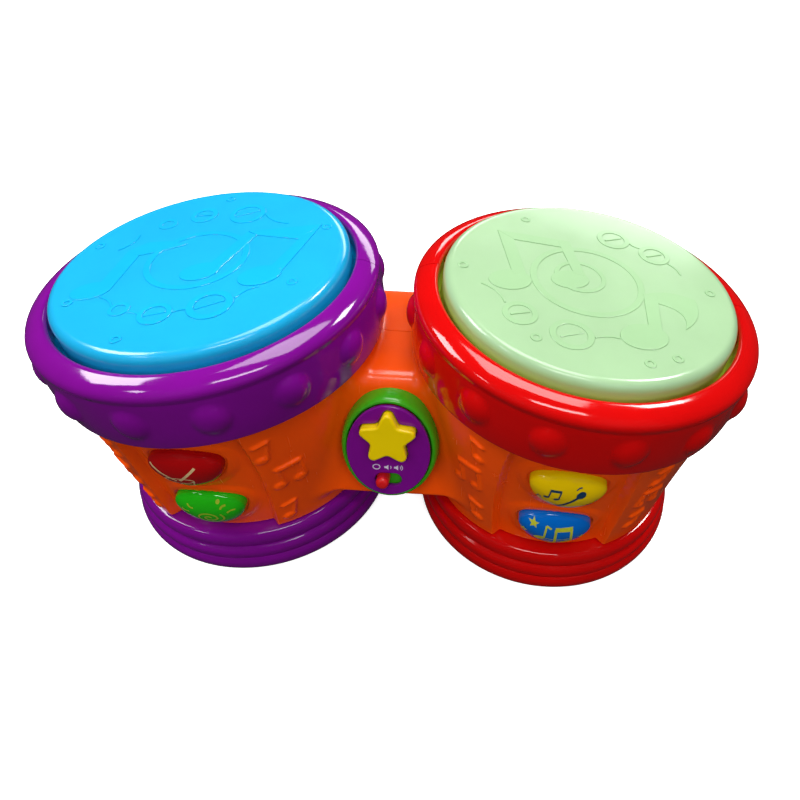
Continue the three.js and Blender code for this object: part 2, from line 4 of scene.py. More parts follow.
import bmesh
import bpy
import numpy as np
from mathutils import Matrix, Vector


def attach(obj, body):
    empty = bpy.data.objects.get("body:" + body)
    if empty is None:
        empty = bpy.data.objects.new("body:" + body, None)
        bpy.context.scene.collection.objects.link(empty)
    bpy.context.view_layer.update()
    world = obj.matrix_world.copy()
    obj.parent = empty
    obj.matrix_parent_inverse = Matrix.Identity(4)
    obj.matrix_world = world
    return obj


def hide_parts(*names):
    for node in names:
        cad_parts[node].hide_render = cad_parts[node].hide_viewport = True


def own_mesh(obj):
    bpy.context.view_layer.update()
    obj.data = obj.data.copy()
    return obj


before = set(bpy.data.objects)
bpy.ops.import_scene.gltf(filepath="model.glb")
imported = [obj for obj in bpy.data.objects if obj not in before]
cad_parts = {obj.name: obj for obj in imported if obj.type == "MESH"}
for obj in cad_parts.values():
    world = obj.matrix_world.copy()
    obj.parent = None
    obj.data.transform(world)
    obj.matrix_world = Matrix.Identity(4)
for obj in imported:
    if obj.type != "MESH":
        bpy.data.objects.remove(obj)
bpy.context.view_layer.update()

MM = 0.001

# ---------------------------------------------------------------- driving dimensions, as in the CAD
GAP = 0.3
DRUM_X = 74.6
SPLAY = math.radians(5.8)
BEND_TOP = 100.0
SEAM_Y = 5.0
BODY_LOW = 24.7
BODY_SHOULDER = 97.4
RECESS = 4.5
PANEL_HALF = 24.9
LIP = 2.4
UPPER_H = 75.5
LOWER_H = 43.5
BRIDGE_TOP = 97.5
BRIDGE_LOW = 37.0
BRIDGE_BACK = 37.0
POD_LEAN = math.radians(15)
POD_ORIGIN = Vector((0, -43.3, 69.5))
POD_DEPTH = 8.6
STAR_V = 8.0
STAR_RADIUS = 13.9
SLOT_V = -14.6
KNOB_U = -2.4
BUMPS = 15
SIDES = {
    "left": {"s": -1, "panel": -93.0, "bump": -97.5},
    "right": {"s": 1, "panel": -91.0, "bump": -79.0},
}


def body_radius(h):
    return 58.8 + 11.1 * (h - 15) / 85


def panel_half_width(h):
    return PANEL_HALF - 3.6 * ((h - 45) / 51) ** 2


def bend(s, x, y, h):
    """Points of an upright drum after it is bent outwards."""
    tilt = SPLAY * np.clip(h, 0, BEND_TOP) / BEND_TOP
    arc = BEND_TOP / SPLAY
    over = np.maximum(h - BEND_TOP, 0)
    cx = DRUM_X + arc * (1 - np.cos(tilt)) + over * np.sin(tilt)
    cz = arc * np.sin(tilt) + over * np.cos(tilt) + np.minimum(h, 0)
    return np.stack([s * cx + x * np.cos(tilt), y + 0 * cx, cz - s * x * np.sin(tilt)], -1)


def bend_point(s, x, y, h):
    return Vector(bend(s, np.float64(x), np.float64(y), np.float64(h)))


# ---------------------------------------------------------------- small numeric helpers
def smooth(lo, hi, x):
    t = np.clip((x - lo) / (hi - lo), 0, 1)
    return t * t * (3 - 2 * t)


def spans(*stops):
    """Positions from stop to stop; each stop is (value, step to the next one)."""
    out = []
    for (a, step), (b, _) in zip(stops, stops[1:]):
        count = max(1, round((b - a) / step))
        out.extend(a + (b - a) * i / count for i in range(count))
    out.append(stops[-1][0])
    return np.array(out)


def rounded(points, radii, steps=6):
    """A closed outline with each corner replaced by an arc."""
    n = len(points)
    out = []
    for i, (p, r) in enumerate(zip(points, radii)):
        p, a, b = (Vector(q) for q in (p, points[i - 1], points[(i + 1) % n]))
        if r <= 0:
            out.append(tuple(p))
            continue
        e1, e2 = (a - p).normalized(), (b - p).normalized()
        half = math.acos(max(-1, min(1, e1.dot(e2)))) / 2
        reach = r / math.tan(half)
        centre = p + (e1 + e2).normalized() * (r / math.sin(half))
        start, end = p + e1 * reach - centre, p + e2 * reach - centre
        turn = start.angle_signed(end)
        for k in range(steps + 1):
            angle = -turn * k / steps
            c, s = math.cos(angle), math.sin(angle)
            out.append((centre.x + c * start.x - s * start.y, centre.y + s * start.x + c * start.y))
    return out


def catmull(points, steps, closed=True):
    """A smooth curve through 2-D points."""
    pts = [np.array(p, float) for p in points]
    n = len(pts)
    out = []
    for i in range(n if closed else n - 1):
        if closed:
            a, b, c, d = (pts[(i + k) % n] for k in (-1, 0, 1, 2))
        else:
            a, b, c, d = pts[max(i - 1, 0)], pts[i], pts[i + 1], pts[min(i + 2, n - 1)]
        for k in range(steps):
            t = k / steps
            out.append(
                0.5
                * (
                    2 * b
                    + (c - a) * t
                    + (2 * a - 5 * b + 4 * c - d) * t * t
                    + (3 * b - a - 3 * c + d) * t**3
                )
            )
    if not closed:
        out.append(pts[-1])
    return np.array(out)


def segment_distance(x, y, a, b):
    dx, dy = b[0] - a[0], b[1] - a[1]
    length = max(dx * dx + dy * dy, 1e-9)
    t = np.clip(((x - a[0]) * dx + (y - a[1]) * dy) / length, 0, 1)
    return np.hypot(x - a[0] - t * dx, y - a[1] - t * dy)


def line_distance(x, y, line, reach):
    """Distance from each point to a line of points, no further than reach."""
    best = np.full(x.shape, float(reach))
    line = np.asarray(line, float)
    lo, hi = line.min(0) - reach, line.max(0) + reach
    near = (x > lo[0]) & (x < hi[0]) & (y > lo[1]) & (y < hi[1])
    if not near.any():
        return best
    px, py = x[near], y[near]
    found = best[near]
    for a, b in zip(line, line[1:]):
        found = np.minimum(found, segment_distance(px, py, a, b))
    best[near] = found
    return best


# ---------------------------------------------------------------- meshes
class Soup:
    """Vertices and faces of one piece, gathered from several surfaces."""

    def __init__(self):
        self.verts = []
        self.faces = []
        self.count = 0

    def add(self, verts, faces):
        verts = np.asarray(verts, float).reshape(-1, 3)
        self.verts.append(verts)
        self.faces.extend((np.asarray(faces) + self.count).tolist())
        self.count += len(verts)

    def grid(self, points, wrap_u=False, wrap_v=False, flip=False):
        nu, nv = points.shape[:2]
        index = np.arange(nu * nv).reshape(nu, nv)
        if wrap_u:
            index = np.vstack([index, index[:1]])
        if wrap_v:
            index = np.hstack([index, index[:, :1]])
        quads = np.stack([index[:-1, :-1], index[1:, :-1], index[1:, 1:], index[:-1, 1:]], -1)
        quads = quads.reshape(-1, 4)
        if flip:
            quads = quads[:, ::-1]
        self.add(points, quads)

    def piece(self, name, sharp=35):
        mesh = bpy.data.meshes.new(name)
        mesh.from_pydata(np.concatenate(self.verts) * MM, [], self.faces)
        mesh.validate()
        return shaded(name, mesh, sharp)


def shaded(name, mesh, sharp=35):
    mesh.shade_smooth()
    if sharp:
        mesh.set_sharp_from_angle(angle=math.radians(sharp))
    obj = bpy.data.objects.new(name, mesh)
    bpy.context.scene.collection.objects.link(obj)
    return obj


def surface(name, points, sharp=35, **wraps):
    """A piece made of one grid of points."""
    soup = Soup()
    soup.grid(points, **wraps)
    return soup.piece(name, sharp)


@contextmanager
def editing(obj):
    """Opens an object's mesh for editing and writes it back."""
    bm = bmesh.new()
    bm.from_mesh(obj.data)
    yield bm
    bm.to_mesh(obj.data)
    bm.free()


def merge_close(obj, distance=0.01):
    with editing(obj) as bm:
        bmesh.ops.remove_doubles(bm, verts=bm.verts, dist=distance * MM)


def outward(obj):
    with editing(obj) as bm:
        bmesh.ops.recalc_face_normals(bm, faces=bm.faces)


def turned(s, thetas, radii, heights, shift=None):
    """A bent surface of revolution as a grid; shift moves points along the section's normal."""
    r, h = np.asarray(radii, float), np.asarray(heights, float)
    dr, dh = np.gradient(r), np.gradient(h)
    size = np.maximum(np.hypot(dr, dh), 1e-9)
    nr, nh = dh / size, -dr / size
    t = np.radians(thetas)[:, None]
    amount = 0.0 if shift is None else shift(np.degrees(t), h[None, :])
    rr = r[None, :] + nr[None, :] * amount
    hh = h[None, :] + nh[None, :] * amount
    return bend(s, rr * np.cos(t), rr * np.sin(t), hh + 0 * t)


def split_at_seam(obj, name, keep_front, lip=1.2):
    """The half of a hollow shell on one side of the seam, its cut edge turned inwards."""
    side = -1 if keep_front else 1
    cut = (SEAM_Y + side * GAP / 2) * MM
    bm = bmesh.new()
    bm.from_mesh(obj.data)
    geometry = bm.verts[:] + bm.edges[:] + bm.faces[:]
    bmesh.ops.bisect_plane(
        bm,
        geom=geometry,
        plane_co=(0, cut, 0),
        plane_no=(0, 1, 0),
        clear_outer=keep_front,
        clear_inner=not keep_front,
        dist=1e-7,
    )
    rim = [e for e in bm.edges if e.is_boundary and all(abs(v.co.y - cut) < 1e-6 for v in e.verts)]
    bm.normal_update()
    normals = {v: v.normal.copy() for e in rim for v in e.verts}
    made = bmesh.ops.extrude_edge_only(bm, edges=rim)["geom"]
    fresh = [g for g in made if isinstance(g, bmesh.types.BMVert)]
    source = {tuple(round(c, 9) for c in v.co): n for v, n in normals.items()}
    for v in fresh:
        n = source.get(tuple(round(c, 9) for c in v.co), v.normal)
        flat = Vector((n.x, 0, n.z)).normalized()
        v.co -= flat * lip * MM
    mesh = bpy.data.meshes.new(name)
    bm.to_mesh(mesh)
    bm.free()
    return shaded(name, mesh, 35)


def placed(obj, matrix):
    """Moves a piece drawn in a local frame, in millimetres, to its place in metres."""
    scaled = matrix.copy()
    scaled.translation = matrix.translation * MM
    obj.data.transform(scaled)
    return obj


def local_frame(origin, u, v):
    n = u.cross(v).normalized()
    m = Matrix((u, v, n)).transposed().to_4x4()
    m.translation = origin
    return m


def panel_frame(side, h):
    """Plane that touches the recessed front panel at height h: u right, v up, n outwards."""

    def at(angle, height):
        t = math.radians(angle)
        r = body_radius(height) - RECESS
        return bend_point(side["s"], r * math.cos(t), r * math.sin(t), height)

    v = (at(side["panel"], h + 10) - at(side["panel"], h - 10)).normalized()
    across = (at(side["panel"] + 3, h) - at(side["panel"] - 3, h)).normalized()
    n = across.cross(v).normalized()
    u = v.cross(n).normalized()
    return local_frame(at(side["panel"], h), u, v)


def seen_from_button(points, side, h):
    """Points in a push button's own frame: across, up and outwards."""
    m = np.array(panel_frame(side, h).inverted())
    return points @ m[:3, :3].T + m[:3, 3]


def pod_frame():
    v = Vector((0, math.sin(POD_LEAN), math.cos(POD_LEAN)))
    return local_frame(POD_ORIGIN, Vector((1, 0, 0)), v)


# ---------------------------------------------------------------- outlines
PICK_POINTS = [
    (-16.4, 2.4), (-12.0, 8.9), (0, 11.9), (12.0, 8.9), (16.4, 2.4), (11.6, -7.2), (0, -11.9), (-11.6, -7.2),
]


def pick_outline(steps=20):
    """Rounded guitar-pick outline of a push button."""
    return catmull(PICK_POINTS, steps)


def star_outline(radius, tip_round=2.4, notch_round=2.2):
    corners, radii = [], []
    for i in range(5):
        tip = math.pi / 2 + i * 2 * math.pi / 5
        notch = tip + math.pi / 5
        corners.append((radius * 1.15 * math.cos(tip), radius * 1.15 * math.sin(tip)))
        corners.append((radius * 0.55 * math.cos(notch), radius * 0.55 * math.sin(notch)))
        radii.extend([tip_round, notch_round])
    return rounded(corners, radii, 7)


def ellipse_outline(a, b, count=96):
    return [(a * math.cos(t), b * math.sin(t)) for t in np.linspace(0, 2 * math.pi, count, False)]


def slot_outline(length, width, cx=0.0, cy=0.0, steps=10):
    r = width / 2
    out = []
    for k in range(steps + 1):
        t = -math.pi / 2 + math.pi * k / steps
        out.append((cx + length / 2 - r + r * math.cos(t), cy + r * math.sin(t)))
    for k in range(steps + 1):
        t = math.pi / 2 + math.pi * k / steps
        out.append((cx - length / 2 + r + r * math.cos(t), cy + r * math.sin(t)))
    return out


def plate(name, outlines, low, high, edge, sharp=35, steps=4):
    """A flat plate with holes and rounded edges: a filled 2-D curve turned into a mesh."""
    curve = bpy.data.curves.new(name + "_curve", "CURVE")
    curve.dimensions = "2D"
    curve.fill_mode = "BOTH"
    curve.extrude = (high - low) / 2 - edge
    curve.bevel_depth = edge
    curve.bevel_resolution = steps
    curve.offset = -edge
    for outline in outlines:
        spline = curve.splines.new("POLY")
        spline.points.add(len(outline) - 1)
        for point, (x, y) in zip(spline.points, outline):
            point.co = (x, y, 0, 1)
        spline.use_cyclic_u = True
    holder = bpy.data.objects.new(name + "_curve", curve)
    bpy.context.scene.collection.objects.link(holder)
    bpy.context.view_layer.update()
    depsgraph = bpy.context.evaluated_depsgraph_get()
    mesh = bpy.data.meshes.new_from_object(holder.evaluated_get(depsgraph))
    bpy.data.objects.remove(holder)
    bpy.data.curves.remove(curve)
    mesh.transform(Matrix.Translation((0, 0, (low + high) / 2)))
    mesh.transform(Matrix.Scale(MM, 4))
    obj = shaded(name, mesh, sharp)
    merge_close(obj, 0.005)
    obj.data.shade_smooth()
    obj.data.set_sharp_from_angle(angle=math.radians(sharp))
    keep_flats(obj)
    return obj


def keep_flats(obj):
    """Marks the borders of a plate's flat faces as sharp, so that the faces shade flat."""
    with editing(obj) as bm:
        for edge in bm.edges:
            flat = [abs(f.normal.z) > 0.9999 for f in edge.link_faces]
            if any(flat) and not all(flat):
                edge.smooth = False


# ---------------------------------------------------------------- materials
def node(tree, kind, **values):
    made = tree.nodes.new(kind)
    for key, value in values.items():
        setattr(made, key, value)
    return made


def link(tree, a, b):
    tree.links.new(a, b)


def noise(tree, coords, scale, detail=3.0, roughness=0.5):
    made = node(tree, "ShaderNodeTexNoise")
    made.inputs["Scale"].default_value = scale
    made.inputs["Detail"].default_value = detail
    made.inputs["Roughness"].default_value = roughness
    link(tree, coords, made.inputs["Vector"])
    return made.outputs["Fac"]


def ranged(tree, value, lo, hi, to_lo, to_hi):
    made = node(tree, "ShaderNodeMapRange")
    for key, number in zip(("From Min", "From Max", "To Min", "To Max"), (lo, hi, to_lo, to_hi)):
        made.inputs[key].default_value = number
    link(tree, value, made.inputs["Value"])
    return made.outputs["Result"]


def mixed(tree, factor, a, b):
    made = node(tree, "ShaderNodeMix", data_type="RGBA")
    link(tree, factor, made.inputs["Factor"])
    for socket, value in ((made.inputs[6], a), (made.inputs[7], b)):
        if isinstance(value, tuple):
            socket.default_value = (*value, 1)
        else:
            link(tree, value, socket)
    return made.outputs[2]


def shade(colour, factor):
    return tuple(min(1.0, c * factor) for c in colour)


def bumped(tree, height, distance, strength, normal=None):
    made = node(tree, "ShaderNodeBump")
    made.inputs["Distance"].default_value = distance
    made.inputs["Strength"].default_value = strength
    link(tree, height, made.inputs["Height"])
    if normal is not None:
        link(tree, normal, made.inputs["Normal"])
    return made.outputs["Normal"]


def new_material(name):
    material = bpy.data.materials.new(name)
    material.use_nodes = True
    tree = material.node_tree
    tree.nodes.clear()
    out = node(tree, "ShaderNodeOutputMaterial")
    shader = node(tree, "ShaderNodeBsdfPrincipled")
    link(tree, shader.outputs["BSDF"], out.inputs["Surface"])
    coords = node(tree, "ShaderNodeTexCoord").outputs["Object"]
    return material, tree, shader, coords


def scratches(tree, coords, scale=900.0, stretch=0.04):
    """Fine hairlines in two directions, from stretched noise."""
    sets = []
    for turn in (0.5, 2.1):
        mapping = node(tree, "ShaderNodeMapping")
        mapping.inputs["Rotation"].default_value = (turn * 0.4, turn * 0.7, turn)
        mapping.inputs["Scale"].default_value = (1.0, stretch, stretch)
        link(tree, coords, mapping.inputs["Vector"])
        value = noise(tree, mapping.outputs["Vector"], scale, 2.0, 0.6)
        sets.append(ranged(tree, value, 0.66, 0.76, 0.0, 1.0))
    add = node(tree, "ShaderNodeMath", operation="MAXIMUM")
    link(tree, sets[0], add.inputs[0])
    link(tree, sets[1], add.inputs[1])
    return add.outputs[0]


def plastic(name, colour, roughness, coat=0.0, subsurface=0.0, peel=0.00003, deep=0.86, rim_light_tint=None, rim_light_span=None):
    """Moulded plastic: slow colour drift, handling haze in the roughness, hairlines and orange peel, and
    optionally painted light: a tint low on a head's wall for the translucent glow and the rim's reflection.
    """
    material, tree, shader, coords = new_material(name)
    drift = ranged(tree, noise(tree, coords, 22.0, 4.0, 0.55), 0.35, 0.65, 0.0, 1.0)
    base = mixed(tree, drift, shade(colour, deep), shade(colour, 1.04))
    # Painted light: the colour turns to the tint low on the wall, for the glow through the translucent
    # plastic and the rim's coloured reflection.
    if rim_light_tint is not None:
        base = paint_rim_light(tree, coords, base, rim_light_tint, rim_light_span)
    speck = ranged(tree, noise(tree, coords, 1500.0, 1.0, 0.5), 0.74, 0.80, 0.0, 0.2)
    base = mixed(tree, speck, base, shade(colour, 1.35))
    link(tree, base, shader.inputs["Base Color"])
    haze = ranged(tree, noise(tree, coords, 60.0, 5.0, 0.6), 0.3, 0.7, roughness * 0.8, roughness * 1.25)
    lines = scratches(tree, coords)
    worn = node(tree, "ShaderNodeMath", operation="MULTIPLY_ADD")
    link(tree, lines, worn.inputs[0])
    worn.inputs[1].default_value = 0.05
    link(tree, haze, worn.inputs[2])
    link(tree, worn.outputs[0], shader.inputs["Roughness"])
    normal = bumped(tree, noise(tree, coords, 170.0, 2.0, 0.4), peel * 4, 0.5)
    normal = bumped(tree, noise(tree, coords, 2600.0, 2.0, 0.5), peel * 0.3, 0.5, normal)
    link(tree, normal, shader.inputs["Normal"])
    shader.inputs["IOR"].default_value = 1.5
    shader.inputs["Coat Weight"].default_value = coat
    shader.inputs["Coat Roughness"].default_value = 0.04
    if subsurface > 0:
        shader.inputs["Subsurface Weight"].default_value = subsurface
        shader.inputs["Subsurface Scale"].default_value = 0.004
        shader.inputs["Subsurface Radius"].default_value = (1.0, 1.0, 1.0)
    return material


def paint_rim_light(tree, coords, base, rim_light_tint, rim_light_span):
    """Paints light on a head's wall: mixes base into the tint along an axis, for the translucent glow and the
    rim's reflection low down; the span given is (axis, height of full tint, height of none).
    """
    axis, low, high = rim_light_span
    along = node(tree, "ShaderNodeVectorMath", operation="DOT_PRODUCT")
    link(tree, coords, along.inputs[0])
    along.inputs[1].default_value = axis
    amount = ranged(tree, along.outputs["Value"], low, high, 1.0, 0.0)
    return mixed(tree, amount, base, rim_light_tint)


def metal(name, colour, roughness=0.3):
    material, tree, shader, coords = new_material(name)
    patch = ranged(tree, noise(tree, coords, 120.0, 4.0, 0.6), 0.3, 0.7, 0.0, 1.0)
    link(tree, mixed(tree, patch, shade(colour, 0.82), colour), shader.inputs["Base Color"])
    rough = ranged(tree, noise(tree, coords, 420.0, 3.0, 0.6), 0.3, 0.7, roughness * 0.8, roughness * 1.4)
    link(tree, rough, shader.inputs["Roughness"])
    link(tree, bumped(tree, scratches(tree, coords, 1400.0), 0.00001, 0.4), shader.inputs["Normal"])
    shader.inputs["Metallic"].default_value = 1.0
    return material


def board_material():
    """Green solder mask with a grid of copper-toned tracks under it."""
    material, tree, shader, coords = new_material("circuit_board_look")
    brick = node(tree, "ShaderNodeTexBrick")
    brick.inputs["Scale"].default_value = 260.0
    brick.inputs["Color1"].default_value = (0.01, 0.10, 0.035, 1)
    brick.inputs["Color2"].default_value = (0.015, 0.14, 0.05, 1)
    brick.inputs["Mortar"].default_value = (0.05, 0.26, 0.10, 1)
    brick.inputs["Mortar Size"].default_value = 0.03
    link(tree, coords, brick.inputs["Vector"])
    drift = noise(tree, coords, 90.0, 3.0)
    worn = ranged(tree, drift, 0.4, 0.6, 0.0, 0.4)
    link(tree, mixed(tree, worn, brick.outputs["Color"], (0.02, 0.18, 0.07)),
         shader.inputs["Base Color"])
    link(tree, ranged(tree, drift, 0.3, 0.7, 0.22, 0.4), shader.inputs["Roughness"])
    link(tree, bumped(tree, brick.outputs["Fac"], 0.00003, 0.6), shader.inputs["Normal"])
    return material


def foam_material():
    material, tree, shader, coords = new_material("foam_look")
    cells = node(tree, "ShaderNodeTexVoronoi")
    cells.inputs["Scale"].default_value = 1400.0
    link(tree, coords, cells.inputs["Vector"])
    tone = ranged(tree, cells.outputs["Distance"], 0.0, 0.6, 0.0, 1.0)
    link(tree, mixed(tree, tone, (0.012, 0.012, 0.013), (0.06, 0.06, 0.065)), shader.inputs["Base Color"])
    link(tree, ranged(tree, tone, 0.0, 1.0, 0.95, 0.8), shader.inputs["Roughness"])
    link(tree, bumped(tree, cells.outputs["Distance"], 0.0003, 0.8), shader.inputs["Normal"])
    return material


def paper_material():
    """Pressed paper and ferrite: fine fibres and a dusty, rough surface."""
    material, tree, shader, coords = new_material("speaker_black_look")
    fibre = noise(tree, coords, 700.0, 6.0, 0.7)
    share = ranged(tree, fibre, 0.3, 0.7, 0.0, 1.0)
    link(tree, mixed(tree, share, (0.012, 0.012, 0.013), (0.05, 0.05, 0.052)),
         shader.inputs["Base Color"])
    link(tree, ranged(tree, fibre, 0.3, 0.7, 0.55, 0.85), shader.inputs["Roughness"])
    link(tree, bumped(tree, fibre, 0.0001, 0.5), shader.inputs["Normal"])
    return material


def lens_material():
    material, tree, shader, coords = new_material("led_look")
    cloud = noise(tree, coords, 300.0, 3.0)
    link(tree, mixed(tree, ranged(tree, cloud, 0.3, 0.7, 0.0, 1.0), (0.86, 0.9, 0.95), (0.97, 0.98, 1.0)),
         shader.inputs["Base Color"])
    link(tree, ranged(tree, cloud, 0.3, 0.7, 0.04, 0.1), shader.inputs["Roughness"])
    shader.inputs["Transmission Weight"].default_value = 0.8
    return material


def ink(name, colour):
    """Pad-printed ink: slightly uneven cover over the plastic below."""
    material, tree, shader, coords = new_material(name)
    cover = ranged(tree, noise(tree, coords, 900.0, 4.0, 0.6), 0.3, 0.7, 0.0, 1.0)
    link(tree, mixed(tree, cover, shade(colour, 0.75), colour), shader.inputs["Base Color"])
    link(tree, ranged(tree, cover, 0.0, 1.0, 0.28, 0.4), shader.inputs["Roughness"])
    link(tree, bumped(tree, cover, 0.00001, 0.4), shader.inputs["Normal"])
    return material


def wrap_material():
    """Printed battery sleeve: a dark body with a copper-toned band, split along the cell."""
    material, tree, shader, coords = new_material("battery_wrap_look")
    split = node(tree, "ShaderNodeSeparateXYZ")
    link(tree, coords, split.inputs["Vector"])
    band = ranged(tree, split.outputs["Z"], 0.0745, 0.0750, 0.0, 1.0)
    grain = ranged(tree, noise(tree, coords, 200.0, 3.0), 0.3, 0.7, 0.0, 1.0)
    lower = mixed(tree, grain, (0.012, 0.012, 0.014), (0.03, 0.03, 0.034))
    upper = mixed(tree, grain, (0.55, 0.26, 0.09), (0.68, 0.36, 0.14))
    link(tree, mixed(tree, band, lower, upper), shader.inputs["Base Color"])
    link(tree, ranged(tree, grain, 0.0, 1.0, 0.18, 0.3), shader.inputs["Roughness"])
    shader.inputs["Metallic"].default_value = 0.4
    return material


def drum_axis(s):
    return (s * math.sin(SPLAY), 0.0, math.cos(SPLAY))


def head_rim_light_span(s, low, high):
    """A drum's axis, and how far along it, in metres, two heights on the drum lie: where the painted light
    low on its head is full and where it is gone.
    """
    axis = Vector(drum_axis(s))
    at = [bend_point(s, 0, 0, h).dot(axis) * MM for h in (low, high)]
    return (drum_axis(s), at[0], at[1])


ORANGE = plastic("orange_body_look", (0.94, 0.085, 0.001), 0.22, subsurface=0.03, peel=0.00001, deep=0.96)
PURPLE = plastic("purple_trim_look", (0.17, 0.003, 0.22), 0.08, peel=0.00002, deep=0.92)
RED = plastic("red_trim_look", (0.52, 0.002, 0.002), 0.08, peel=0.00002, deep=0.92)
# Painted light on both heads: a deeper blue and a yellow-green, low on the wall near the rim, for the
# translucent glow and the rim's reflection.
BLUE = plastic("head_blue_look", (0.010, 0.335, 0.60), 0.16, subsurface=0.15, peel=0.00001, deep=0.97,
               rim_light_tint=(0.0, 0.29, 0.66), rim_light_span=head_rim_light_span(-1, 125, 133))
BLUE_PLATE = plastic("head_blue_plate_look", (0.006, 0.35, 0.65), 0.14, peel=0.00001, deep=0.97)
MINT = plastic("head_mint_look", (0.30, 0.46, 0.26), 0.16, subsurface=0.15, peel=0.00001, deep=0.97,
               rim_light_tint=(0.42, 0.60, 0.04), rim_light_span=head_rim_light_span(1, 126, 134))
MINT_PLATE = plastic("head_mint_plate_look", (0.285, 0.46, 0.245), 0.14, peel=0.00001, deep=0.97)
LIME = plastic("bezel_green_look", (0.04, 0.34, 0.008), 0.18, deep=0.94)
YELLOW = plastic("star_yellow_look", (0.76, 0.56, 0.0), 0.22, deep=0.95)
KNOB = plastic("knob_red_look", (0.62, 0.01, 0.012), 0.28)
BUTTON_RED = plastic("button_red_look", (0.36, 0.002, 0.003), 0.08, peel=0.00001, deep=0.94)
BUTTON_GREEN = plastic("button_green_look", (0.014, 0.42, 0.006), 0.08, peel=0.00001, deep=0.94)
BUTTON_YELLOW = plastic("button_yellow_look", (0.70, 0.47, 0.0), 0.08, peel=0.00001, deep=0.94)
BUTTON_BLUE = plastic("button_blue_look", (0.0, 0.12, 0.50), 0.08, peel=0.00001, deep=0.94)
WHITE = plastic("white_inner_look", (0.72, 0.71, 0.66), 0.5)
BLACK = paper_material()
STEEL = metal("steel_look", (0.60, 0.61, 0.63), 0.32)
BOARD = board_material()
FOAM = foam_material()
LENS = lens_material()
WRAP = wrap_material()
INK_CREAM = ink("ink_cream_look", (0.72, 0.52, 0.26))
INK_LIME = ink("ink_lime_look", (0.36, 0.50, 0.02))
INK_NAVY = ink("ink_navy_look", (0.006, 0.04, 0.10))
INK_YELLOW = ink("ink_yellow_look", (0.55, 0.56, 0.03))
INK_WHITE = ink("ink_white_look", (0.72, 0.66, 0.80))


def dress(obj, material, body="housing", slot=None, replaces=()):
    """Gives a finished piece its material, its CAD body and the nodes it stands for."""
    obj.data.materials.clear()
    obj.data.materials.append(material)
    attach(obj, body)
    if replaces:
        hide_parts(*replaces)
    return obj


# ---------------------------------------------------------------- raised notes on the side panels
def capsule(a, b, r):
    return ("capsule", a, b, r)


def oval(centre, rx, ry, turn=0.0):
    return ("oval", centre, rx, ry, turn)


def single_note(x, y, k=1.0, flip=1):
    """A thick eighth note: a head, a stem and one flag."""
    f = flip
    return [
        oval((x - 1.6 * k * f, y - 4.6 * k), 2.5 * k, 1.9 * k, 0.3 * f),
        capsule((x + 0.6 * k * f, y - 4.2 * k), (x + 1.9 * k * f, y + 4.6 * k), 0.75 * k),
        capsule((x + 1.9 * k * f, y + 4.9 * k), (x - 3.0 * k * f, y + 3.4 * k), 1.0 * k),
    ]


def beamed_notes(x, y, k=1.0, flip=1):
    """Two thick notes joined by a slanting beam."""
    f = flip
    return [
        oval((x - 4.0 * k * f, y - 5.0 * k), 2.5 * k, 1.9 * k, 0.3 * f),
        oval((x + 3.6 * k * f, y - 4.2 * k), 2.5 * k, 1.9 * k, 0.3 * f),
        capsule((x - 2.0 * k * f, y - 4.6 * k), (x - 3.4 * k * f, y + 4.0 * k), 0.75 * k),
        capsule((x + 5.4 * k * f, y - 3.8 * k), (x + 4.0 * k * f, y + 5.0 * k), 0.75 * k),
        capsule((x - 3.6 * k * f, y + 4.2 * k), (x + 4.0 * k * f, y + 5.2 * k), 1.3 * k),
    ]


def shape_distance(shape, x, y):
    if shape[0] == "capsule":
        _, a, b, r = shape
        return segment_distance(x, y, a, b) - r
    _, (cx, cy), rx, ry, turn = shape
    c, s = math.cos(turn), math.sin(turn)
    px, py = (x - cx) * c + (y - cy) * s, (y - cy) * c - (x - cx) * s
    q = np.hypot(px / rx, py / ry)
    return (q - 1) * min(rx, ry)


# (note, degrees from the middle of the front panel, height, size, mirrored)
NOTES = {
    "left": [
        (single_note, 29.4, 81.8, 1.05, 1),
        (beamed_notes, 35.5, 62.0, 1.15, 1),
        (single_note, 32.8, 36.3, 1.05, 1),
        (single_note, -31.5, 80.0, 1.0, -1),
        (beamed_notes, -36.0, 58.0, 1.1, -1),
        (single_note, -33.0, 36.0, 1.0, -1),
    ],
    "right": [
        (single_note, 35.5, 82.0, 1.1, 1),
        (beamed_notes, 36.5, 63.5, 1.05, -1),
        (single_note, 36.0, 44.5, 1.1, 1),
        (single_note, -35.5, 83.0, 1.0, -1),
        (beamed_notes, -38.5, 63.0, 1.2, 1),
        (single_note, -35.0, 40.0, 1.1, -1),
    ],
}
NOTE_HEIGHT = 1.1
NOTE_SIZE = 1.08


def note_relief(side_name, theta, h):
    side = SIDES[side_name]
    height = 0 * theta + 0 * h
    for draw, angle, at, size, flip in NOTES[side_name]:
        x = np.radians(theta - side["panel"] - angle) * body_radius(at) + 0 * h
        y = h - at + 0 * theta
        near = (np.abs(x) < 12) & (np.abs(y) < 12)
        distance = np.full(x.shape, 9.0)
        for part in draw(0.0, 0.0, NOTE_SIZE * size, flip):
            found = shape_distance(part, x[near], y[near])
            distance[near] = np.minimum(distance[near], found)
        height = np.maximum(height, NOTE_HEIGHT * (1 - smooth(-1.1, 0.6, distance)))
    return height


# ---------------------------------------------------------------- housing
PICK = pick_outline()
PICK_LOOP = np.vstack([PICK, PICK[:1]])


def inside_pick(x, y):
    """True where a point lies inside the button outline."""
    angle = np.arctan2(y, x)
    return np.hypot(x, y) < pick_reach(angle)


def pick_reach(angle):
    """Distance from the middle of a button to its outline at an angle."""
    a = np.arctan2(PICK[:, 1], PICK[:, 0])
    order = np.argsort(a)
    a, r = a[order], np.hypot(PICK[:, 0], PICK[:, 1])[order]
    return np.interp(angle, np.concatenate([a - 2 * math.pi, a, a + 2 * math.pi]), np.tile(r, 3))


WELL_DEPTH = 0.8


